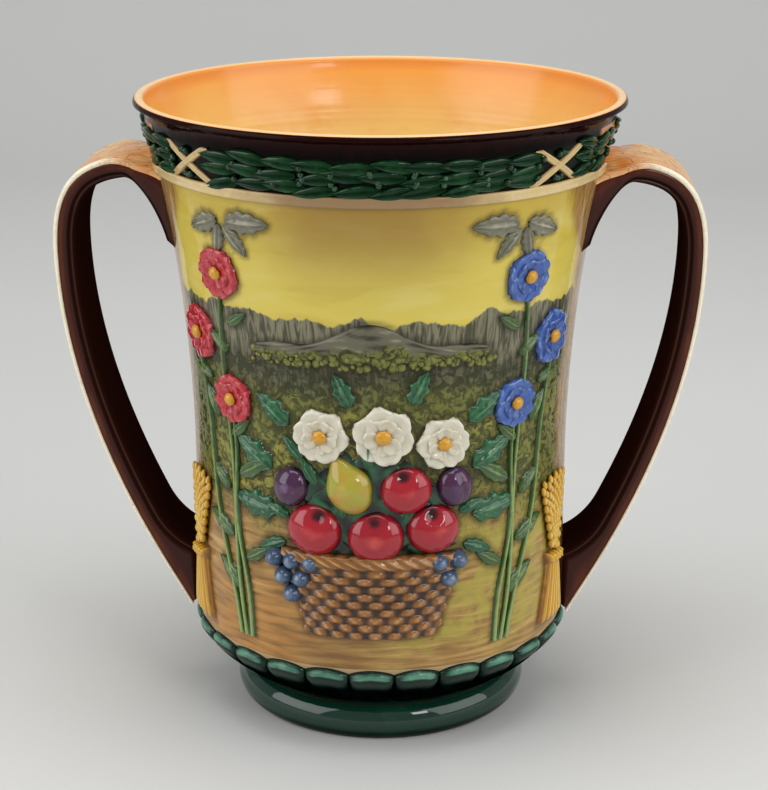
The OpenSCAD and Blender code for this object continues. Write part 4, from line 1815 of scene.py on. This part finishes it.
        def place(s: float, t: float) -> Spot:
            """Gives a spot of the core.

            Args:
                s: The share of the way from the root to the tail.
                t: The share of the way round its section.

            Returns:
                The spot.
            """
            at = s**1.5 * self.core_end
            across, n = self.ring(self.CORE, t)
            half = self.strap_w(at) / 2 - self.strap_over
            extra = self.full(at) - self.thickness
            deep = mix(self.strap_deep(at), self.thickness, n) + extra * ease(0.2, 0.56, n)
            point = self.on_handle(at, across, half, deep, 1 - n)
            # Red-brown over the side's roll and bead, partly thinner glaze and partly painted
            # highlight; the groove and the inner face take the dark pool tone as painted shade
            # between handle and wall.
            thin_glaze_and_light = 0.92 * ease(0.66, 0.2, n) + 0.4 * bump(n - 0.79, 0.06)
            return Spot(point, thin_glaze_and_light if abs(across) > 0.9 else 0.0)

        clay = Clay(f"handle_core_{self.hand.word}")
        clay.sheet(self.stations, 2 * (len(self.CORE) - 1) + 1, place)
        clay.fire([self.shelf.get(TREACLE)], "treacle_glaze", [f"handle_{self.hand.word}"])

    def strap(self) -> None:
        """Makes the pale strap, with a raised border down each edge."""

        def place(s: float, t: float) -> Spot:
            """Gives a spot of the strap.

            Args:
                s: The share of the way from the root to the tail.
                t: The share of the way round its section.

            Returns:
                The spot.
            """
            at = s**1.5
            across, n = self.ring(self.STRAP, t)
            half = self.strap_w(at) / 2
            point = self.on_handle(at, across, half, n * self.strap_deep(at), 1.0)
            # The relief rises at the strap's edges, where the glaze paints a highlight.
            return Spot(point, ease(0.84, 0.95, abs(across)), at * self.strap_l, across * half)

        clay = Clay(f"handle_strap_{self.hand.word}")
        clay.sheet(self.stations, 2 * (len(self.STRAP) - 1) + 1, place)
        clay.fire([self.shelf.get(STRAP)], "strap_glaze", [f"strap_{self.hand.word}"])

    def build(self) -> None:
        """Makes the handle."""
        self.core()
        self.strap()


@dataclass
class ReliefPanel:
    """One panel of the wall: a basket of fruit and flowers, sprays, sheaves and distant hills."""

    form: CupForm
    shelf: Shelf
    footprints: Footprints
    side: Side
    basket_z: float = 56.0
    basket_h: float = 36.0
    basket_w: float = 76.0
    basket_foot_w: float = 54.0
    basket_t: float = 5.5
    rim_t: float = 1.0
    fruit_t: float = 7.0
    flower_t: float = 4.2
    leaf_t: float = 2.6
    hill_t: float = 1.6
    hill_half: float = 50.0
    hill_up: float = 80.0
    hill_rise: float = 17.0
    bushes: int = 130
    bed_half: float = 37.0
    bed_rise: float = 50.0
    grape_r: float = 4.2
    spray_z: float = 48.0
    sheaf_at: float = 93.0
    sheaf_up: float = 26.0
    sheaf_w: float = 13.0
    straw_l: float = 29.0
    ear_grains: int = 15
    draw: random.Random = field(default_factory=lambda: random.Random(PANEL_SEED))

    APPLES = ((-23, 9, 11.5), (2, 7, 11.5), (25, 10, 11), (14, 27, 10.5))
    PEARS = ((-9, 29, 9.5),)
    PLUMS = ((-33, 26, 7.5), (34, 27, 7.5))
    BUNCHES = ((-32, -5, (3, 2, 1)), (31, -4, (2, 1)))
    BLOOMS = ((-20, 49, 12.5), (5, 50, 13.5), (29, 46, 12))
    LEAVES = (
        (-40, 14, 172, 22), (42, 14, 8, 22), (-42, 32, 148, 21), (42, 34, 32, 21),
        (-34, 52, 140, 18), (40, 54, 35, 18), (-8, 62, 115, 15), (16, 63, 65, 15),
    )
    TUCKED = (
        (-36, 2, 200, 14), (38, 2, -20, 14), (-11, 15, 100, 13), (13, 15, 80, 13), (-1, 36, 90, 13),
        (22, 37, 70, 12), (-22, 28, 120, 13), (36, 16, 20, 12), (-34, 13, 160, 12),
        (-28, 38, 130, 12),
    )
    SPRAY_FEET = (53, 56.5, 60)
    SPRAY_HEADS = ((62, 102, 11.5), (67, 155, 12), (84, 126, 12.5))
    SPRAY_LEAVES = (
        (59, 20, 35, 18), (64, 42, 25, 18), (59, 70, 150, 18), (56, 34, 150, 14), (66, 62, 40, 14),
        (63, 86, 140, 13), (72, 92, 60, 14), (64, 122, 35, 13), (63, 134, 150, 12),
        (76, 108, 20, 12),
    )
    CORNER_LEAVES = (
        (61, 9.7, 178, 21), (66, 9.7, -18, 19), (62, 11.7, -130, 15), (65, 11.7, -75, 14),
    )
    EAR_LEANS = (-17, -8.5, 0, 8.5, 17)

    @property
    def rim(self) -> float:
        """Height of the basket's rim."""
        return self.basket_z + self.basket_h

    def seat(self, around: float, z: float, turn: float = 0.0, mirror: float = 1.0) -> Seat:
        """Gives a seat on this panel."""
        return Seat(self.form, self.side, around, z, turn, mirror)

    def over_rim(self, around: float, over: float, turn: float = 0.0) -> Seat:
        """Gives a seat at a height over the basket's rim."""
        return self.seat(around, self.rim + over, turn)

    def name(self, piece: str) -> str:
        """Names a piece of this panel."""
        return f"{piece}_{self.side.word}"

    def fire(self, clay: Clay, glaze: Glaze, slot: str, node: str) -> None:
        """Finishes a piece that stands for a node of this panel."""
        self.footprints.take(clay, self.form.wall_at)
        clay.fire([self.shelf.get(glaze)], slot, [self.name(node)])

    def hills(self) -> None:
        """Makes the distant hills with bushes along their foot."""
        half, foot = self.hill_half, self.rim + self.hill_up
        clay = Clay(self.name("distant_hills"))
        seat = self.seat(0.0, foot)

        def place(s: float, t: float) -> Spot:
            """Gives a spot of the hills.

            Args:
                s: The share of the way from left to right.
                t: The share of the way up.

            Returns:
                The spot.
            """
            peaks = 0.78 + 0.22 * math.cos(4 * math.pi * s)
            sky = self.hill_rise * (0.25 + 0.75 * math.sin(math.pi * s)) * peaks
            fold = 0.5 + 0.5 * math.sin(9 * math.pi * s + 5 * t)
            terrace = wave(4 * t + 0.8 * math.sin(5 * s * math.pi))
            dome = rounded(2 * t - 1, 8) * rounded(2 * s - 1, 16)
            full = 0.7 + 0.16 * fold + 0.14 * terrace
            lift = -SINK + (self.hill_t + SINK) * dome * full * mix(0.3, 1.0, ease(0.0, 0.55, t))
            relief = dome * (0.1 + 0.45 * fold + 0.35 * terrace)
            return Spot(seat.spot(mix(-half, half, s), t * sky, lift), relief, across=t)

        clay.sheet(90, 14, place)
        self.fire(clay, HILLS, "stone_glaze", "hills")
        hedge = Clay(self.name("hedge"))
        for i in range(self.bushes):
            at = mix(-half + 1, half - 1, i / (self.bushes - 1)) + self.draw.uniform(-3.0, 3.0)
            size = self.draw.uniform(0.9, 2.1)
            seat = self.seat(at, foot + self.draw.uniform(-2.4, 2.6))
            bush = self.bush(seat, size, self.draw.uniform(0.5, 1.3))
            hedge.grain(bush, self.draw.random())
        self.fire(hedge, HEDGE, "stone_glaze", "hills")

    def bush(self, seat: Seat, size: float, lift: float) -> BallShape:
        """Gives the shape of one bush.

        Args:
            seat: Where its middle lies.
            size: Half its width.
            lift: How far it stands out.

        Returns:
            What puts the points of a small ball in place.
        """

        def place(co: Vector) -> Spot:
            """Gives a spot of the bush."""
            point = seat.spot(co.x * size, co.y * size, max(-SINK, co.z * lift))
            return Spot(point, 0.3 + 0.6 * co.z)

        return place

    def basket(self) -> None:
        """Makes the woven basket with its plaited rim."""
        rows, stakes = 9, 15
        seat = self.seat(0.0, self.basket_z)

        def place(s: float, t: float) -> Spot:
            """Gives a spot of the basket.

            Args:
                s: The share of the way from left to right.
                t: The share of the way up.

            Returns:
                The spot.
            """
            u = 2 * s - 1
            half = mix(self.basket_foot_w, self.basket_w, t) / 2
            round_off = math.sqrt(1 - 0.94 * u * u)
            if t > 0.84:
                twist = wave(13 * s + 1.6 * (t - 0.84) / 0.16)
                rope = rounded((t - 0.92) / 0.08, 2)
                plait = (self.rim_t + 0.9) * (0.55 + 0.45 * twist)
                lift = self.basket_t * round_off * 0.8 + rope * plait
                relief = 0.15 + rope * (0.25 + 0.6 * twist)
            else:
                row = t / 0.84 * rows
                strand = abs(math.sin(math.pi * row)) ** 0.5
                over = math.cos(math.pi * (stakes * s + int(row)))
                lift = self.basket_t * round_off * (0.72 + 0.2 * strand) + 0.75 * over * strand
                relief = 0.1 + strand * (0.36 + 0.4 * over)
            rim = max(abs(u), abs(2 * t - 1))
            if rim > 0.999:
                lift, relief = -SINK, 0.0
            return Spot(seat.spot(u * half, t * self.basket_h, lift), relief)

        clay = Clay(self.name("woven_basket"))
        clay.sheet(150, 72, place)
        self.fire(clay, OCHRE, "ochre_glaze", "basket")

    def fruit(self) -> None:
        """Makes the apples, pear, plums and grapes that fill the basket."""
        words = ("apples", "pears", "plums", "grapes")
        apples, pears, plums, grapes = (Clay(self.name(word)) for word in words)
        apple, pear = FruitCut(stretch=0.95, dimple=0.42), FruitCut(stretch=1.35, taper=0.42)
        plum, grape = FruitCut(stretch=1.15, crease=0.12), FruitCut(detail=3)
        for around, over, r in self.APPLES:
            seat = self.over_rim(around, over, self.draw.uniform(-24, 24))
            lift = self.fruit_t * (0.6 + 0.035 * r)
            apple.press(apples, seat, r, lift, self.draw.random())
        for around, over, r in self.PEARS:
            pear.press(pears, self.over_rim(around, over, 24), r, self.fruit_t, 1.0)
        for around, over, r in self.PLUMS:
            seat = self.over_rim(around, over, self.draw.uniform(-30, 30))
            plum.press(plums, seat, r, 0.86 * self.fruit_t, 0.6)
        size = self.grape_r
        for around, over, counts in self.BUNCHES:
            for row, count in enumerate(counts):
                for i in range(count):
                    at = around + (i - (count - 1) / 2) * 1.9 * size
                    seat = self.over_rim(at, over - row * 1.7 * size)
                    grape.press(grapes, seat, size, self.basket_t + 1.5, self.draw.random())
        for clay, glaze in ((apples, APPLE), (pears, PEAR), (plums, PLUM), (grapes, GRAPE)):
            self.fire(clay, glaze, "fruit_glaze", "fruit")

    def leaves(self) -> None:
        """Makes the vine leaves round the heap."""
        clay = Clay(self.name("vine_leaf_ring"))
        cut = LeafCut(self.leaf_t, lobes=0.34, teeth=3, veins=0.16, columns=24, rows=14)
        for around, over, turn, length in self.LEAVES:
            seat = self.over_rim(around, over, turn)
            cut.press(clay, seat, length, 0.62 * length, self.draw.random())
        self.bed(clay)
        small = LeafCut(self.leaf_t, lobes=0.2, teeth=4, veins=0.16, columns=16, rows=10)
        for around, over, turn, length in self.TUCKED:
            seat = self.over_rim(around, over, turn)
            small.press(clay, seat, length, 0.5 * length, self.draw.random())
        self.fire(clay, LEAF, "leaf_glaze", "vine_leaves")

    def bed(self, clay: Clay) -> None:
        """Presses the low bed of massed leaves that the fruit lies on.

        Args:
            clay: The piece that it belongs to.
        """
        seat = self.over_rim(0.0, -3)

        def place(s: float, t: float) -> Spot:
            """Gives a spot of the bed.

            Args:
                s: The share of the way from left to right.
                t: The share of the way up.

            Returns:
                The spot.
            """
            across = 2 * s - 1
            ragged = 0.94 + 0.06 * math.cos(13 * math.pi * s)
            top = self.bed_rise * (1 - 0.45 * across * across) * ragged
            side = self.bed_half * (0.9 + 0.1 * math.cos(9 * math.pi * t)) * (1 - 0.12 * t)
            dabs = math.sin(15 * across + 9 * t) * math.sin(17 * t - 6 * across)
            dome = rounded(across, 10) * rounded(2 * t - 1, 10)
            full = 0.34 + 0.16 * dabs
            lift = -SINK + (self.leaf_t + SINK) * dome * full
            return Spot(seat.spot(across * side, t * top, lift), dome * (0.22 + 0.3 * dabs))

        clay.sheet(70, 48, place, 0.4)

    def blooms(self) -> None:
        """Makes the pale flowers on top of the heap."""
        petals, hearts = Clay(self.name("pale_petals")), Clay(self.name("pale_hearts"))
        cut = BloomCut(6, self.flower_t)
        for around, over, r in self.BLOOMS:
            cut.press(petals, hearts, self.over_rim(around, over, self.draw.uniform(0, 60)), r)
        self.fire(petals, IVORY, "ivory_glaze", "pale_flowers")
        self.fire(hearts, HEART, "ivory_glaze", "pale_flowers")

    def stem(self, clay: Clay, foot: Point, head: Point, mirror: float) -> None:
        """Presses a bent stem on to the wall.

        Args:
            clay: The piece that it belongs to.
            foot: Where it starts, round the panel and up.
            head: Where it ends.
            mirror: -1 on the left of the panel.
        """

        def place(s: float, t: float) -> Spot:
            """Gives a spot of the stem.

            Args:
                s: The share of the way along it.
                t: The share of the way across it.

            Returns:
                The spot.
            """
            across = 2 * t - 1
            bend = 2.0 * math.sin(math.pi * s) + 1.1 * math.sin(3 * math.pi * s + foot[0])
            z = mix(foot[1], head[1], s)
            seat = self.seat(mix(foot[0], head[0], s) + bend, z, 0.0, mirror)
            dome = rounded(across, 2)
            lift = -SINK + (0.7 * self.leaf_t + SINK) * dome
            return Spot(seat.spot(across * (1.3 - 0.4 * s), 0.0, lift), (1.2 - 0.35 * s) * dome)

        clay.sheet(26, 6, place)

    def spray(self, colour: str, glaze: Glaze, mirror: float) -> None:
        """Makes one spray of flowers on bent stems.

        Args:
            colour: The word for its colour in the nodes' names.
            glaze: The glaze of its petals.
            mirror: -1 on the left of the panel.
        """
        words = ("stems", "petals", "hearts")
        stems, petals, hearts = (Clay(self.name(f"{colour}_{word}")) for word in words)
        cut = BloomCut(5, self.flower_t, notch=0.12)
        for foot, (around, over, r) in zip(self.SPRAY_FEET, self.SPRAY_HEADS):
            z = self.spray_z + over
            self.stem(stems, (foot, self.spray_z), (around, z - 0.7 * r), mirror)
            cut.press(petals, hearts, self.seat(around, z, self.draw.uniform(0, 72), mirror), r)
        leaf = LeafCut(self.leaf_t, lobes=0.16, teeth=4, veins=0.12, columns=16, rows=10)
        for around, over, turn, length in self.SPRAY_LEAVES:
            seat = self.seat(around, self.spray_z + over, turn, mirror)
            leaf.press(stems, seat, length, 0.47 * length, self.draw.random())
        slot = f"{colour}_glaze"
        self.fire(stems, STEM, slot, f"{colour}_spray")
        self.fire(petals, glaze, slot, f"{colour}_spray")
        self.fire(hearts, HEART, slot, f"{colour}_spray")

    def sheaf(self, clay: Clay, mirror: float) -> None:
        """Presses a sheaf of corn on to the wall: a skirt of straw, a tie and a head of ears.

        Args:
            clay: The piece that it belongs to.
            mirror: -1 on the left of the panel.
        """
        tie_z = self.spray_z + self.sheaf_up
        tie = self.seat(self.sheaf_at, tie_z, 0.0, mirror)

        def skirt(s: float, t: float) -> Spot:
            """Gives a spot of the skirt.

            Args:
                s: The share of the way along it.
                t: The share of the way across it.

            Returns:
                The spot.
            """
            across = 2 * t - 1
            half = self.sheaf_w * mix(0.42, 0.95, s**1.3)
            dome = rounded(across, 4) * rounded(2 * s - 1, 10)
            straw = wave(7 * t + 0.15 * s)
            lift = -SINK + (1.3 * self.leaf_t + SINK) * dome * (0.72 + 0.28 * straw)
            relief = dome * (0.15 + 0.8 * straw)
            return Spot(tie.spot(across * half, -self.straw_l * s, lift), relief)

        clay.sheet(18, 44, skirt, 0.8)

        def band(s: float, t: float) -> Spot:
            """Gives a spot of the tie.

            Args:
                s: The share of the way along it.
                t: The share of the way across it.

            Returns:
                The spot.
            """
            across = 2 * t - 1
            dome = rounded(across, 4) * rounded(2 * s - 1, 6)
            twist = wave(5 * s + 0.8 * t)
            lift = -SINK + (1.9 * self.leaf_t + SINK) * dome * (0.8 + 0.2 * twist)
            relief = dome * (0.3 + 0.5 * twist)
            return Spot(tie.spot((s - 0.5) * self.sheaf_w, across * 2.5, lift), relief)

        clay.sheet(24, 8, band)
        for lean in self.EAR_LEANS:
            ear = self.seat(self.sheaf_at, tie_z, 90 - lean, mirror)
            for i in range(self.ear_grains):
                share = i / self.ear_grains
                centre = (4.5 + i * 2.2, (1.5 if i % 2 else -1.5) * (1 - 0.5 * share))
                lift = 1.25 * self.leaf_t * (1 - 0.3 * share)
                clay.grain(self.ear_grain(ear, centre, lift), self.draw.random())

    def ear_grain(self, ear: Seat, centre: Point, lift: float) -> BallShape:
        """Gives the shape of one grain of an ear.

        Args:
            ear: The seat of the ear.
            centre: Where the grain lies, along the ear and across it.
            lift: How far it stands out.

        Returns:
            What puts the points of a small ball in place.
        """

        def place(co: Vector) -> Spot:
            """Gives a spot of the grain."""
            x, y = centre[0] + co.x * 2.3, centre[1] + co.y * 1.35
            return Spot(ear.spot(x, y, lift * (0.55 + 0.5 * co.z)), 0.4 + 0.5 * co.z)

        return place

    def corners(self) -> None:
        """Makes the grey leaves at the panel's upper corners."""
        clay = Clay(self.name("corner_leaf_sprigs"))
        cut = LeafCut(self.leaf_t, lobes=0.26, teeth=4, veins=0.16, columns=22, rows=12)
        for mirror in (-1.0, 1.0):
            for around, drop, turn, length in self.CORNER_LEAVES:
                seat = self.seat(around, self.form.moulding_z - drop, turn, mirror)
                cut.press(clay, seat, length, 0.52 * length, self.draw.random())
        self.fire(clay, STONE, "stone_glaze", "corner_leaves")

    def build(self) -> None:
        """Makes the whole panel."""
        self.hills()
        self.basket()
        self.fruit()
        self.leaves()
        self.blooms()
        self.spray("red", RED, -1.0)
        self.spray("blue", BLUE, 1.0)
        sheaves = Clay(self.name("corn_sheaves"))
        for mirror in (-1.0, 1.0):
            self.sheaf(sheaves, mirror)
        self.fire(sheaves, STRAW, "straw_glaze", "sheaves")
        self.corners()


@dataclass
class Studio:
    """The floor, light and camera."""

    camera_at: tuple[float, float, float] = (0.0412, -0.8571, 0.40545)
    pitch: float = 72.42
    yaw: float = 2.651
    lens: float = 95.13
    sensor_w: float = 36.0
    aim_z: float = 0.13
    pale: str = "d2d2d0"
    sweep_y: float = 1.1
    sweep_r: float = 0.7
    sweep_top: float = 2.6
    near_y: float = -2.4
    half_w: float = 3.0
    cloudy: str = "cacac8"
    paper_rough: float = 0.65
    paper_grain: float = 0.0001
    around: str = "d6d7d8"
    around_level: float = 0.5

    LAMPS = (
        ("key_left", (-1.5, -0.65, 0.9), 1.6, 10.2, 130.0),
        ("fill_right", (1.5, -0.55, 0.85), 1.5, 7.8, 130.0),
        ("top", (0.0, -0.1, 1.8), 1.3, 14.5, 180.0),
        ("window", (0.85, -1.2, 0.95), 0.34, 1.3, 120.0),
    )

    def floor(self) -> None:
        """Lays the pale paper, which runs back from the cup and sweeps up behind it."""
        arc = [math.pi / 2 * i / 16 for i in range(17)]
        y, r = self.sweep_y, self.sweep_r
        line = [
            (self.near_y, 0.0),
            *((y + r * math.sin(t), r * (1 - math.cos(t))) for t in arc),
            (y + r, self.sweep_top),
        ]
        bm = bmesh.new()
        verts = [bm.verts.new((-self.half_w, y, z)) for y, z in line]
        edges = [bm.edges.new(pair) for pair in zip(verts, verts[1:])]
        made = bmesh.ops.extrude_edge_only(bm, edges=edges)["geom"]
        moved = [part for part in made if isinstance(part, bmesh.types.BMVert)]
        bmesh.ops.translate(bm, vec=(2 * self.half_w, 0, 0), verts=moved)
        bmesh.ops.recalc_face_normals(bm, faces=bm.faces)
        if sum(face.normal.z for face in bm.faces) < 0:
            bmesh.ops.reverse_faces(bm, faces=bm.faces)
        for face in bm.faces:
            face.smooth = True
        mesh = bpy.data.meshes.new("paper")
        bm.to_mesh(mesh)
        bm.free()
        recipe = Recipe("pale_paper")
        cloud = recipe.noise(recipe.point(), 3.0, 2.0)
        colour = recipe.mix(cloud * 0.2, self.pale, self.cloudy)
        recipe.fire(colour, self.paper_rough, cloud, self.paper_grain, 0.0)
        mesh.materials.append(recipe.material)
        paper = bpy.data.objects.new("paper", mesh)
        bpy.context.scene.collection.objects.link(paper)

    def light(self) -> None:
        """Hangs the soft lamps and sets the pale surroundings."""
        for name, at, size, power, spread in self.LAMPS:
            lamp = bpy.data.lights.new(name, "AREA")
            lamp.size = size
            lamp.energy = power
            lamp.spread = math.radians(spread)
            stand = bpy.data.objects.new(name, lamp)
            stand.location = at
            aim = Vector((0, 0, self.aim_z)) - Vector(at)
            stand.rotation_euler = aim.to_track_quat("-Z", "Y").to_euler()
            bpy.context.scene.collection.objects.link(stand)
        world = bpy.data.worlds.new("studio")
        bpy.context.scene.world = world
        world.use_nodes = True
        background = world.node_tree.nodes["Background"]
        background.inputs["Color"].default_value = glaze_colour(self.around)
        background.inputs["Strength"].default_value = self.around_level

    def camera(self) -> None:
        """Sets the camera where the photograph was taken from."""
        lens = bpy.data.cameras.new("camera")
        lens.lens = self.lens
        lens.sensor_width = self.sensor_w
        eye = bpy.data.objects.new("camera", lens)
        eye.location = self.camera_at
        eye.rotation_euler = (math.radians(self.pitch), 0.0, math.radians(self.yaw))
        bpy.context.scene.collection.objects.link(eye)
        bpy.context.scene.camera = eye

    def build(self) -> None:
        """Sets the whole studio up."""
        self.floor()
        self.light()
        self.camera()
        bpy.context.scene.view_settings.view_transform = "Standard"


def main() -> None:
    """Builds the cup piece by piece, then the studio."""
    logging.basicConfig(level=logging.INFO, format="%(name)s %(message)s")
    form, shelf, footprints = CupForm(), Shelf(), Footprints()
    for side in Side:
        ReliefPanel(form, shelf, footprints, side).build()
    Vessel(form, shelf, footprints).build()
    LaurelBand(form, shelf).build()
    for hand in Hand:
        Handle(form, shelf, hand).build()
    Studio().build()


if __name__ == "__main__":
    main()
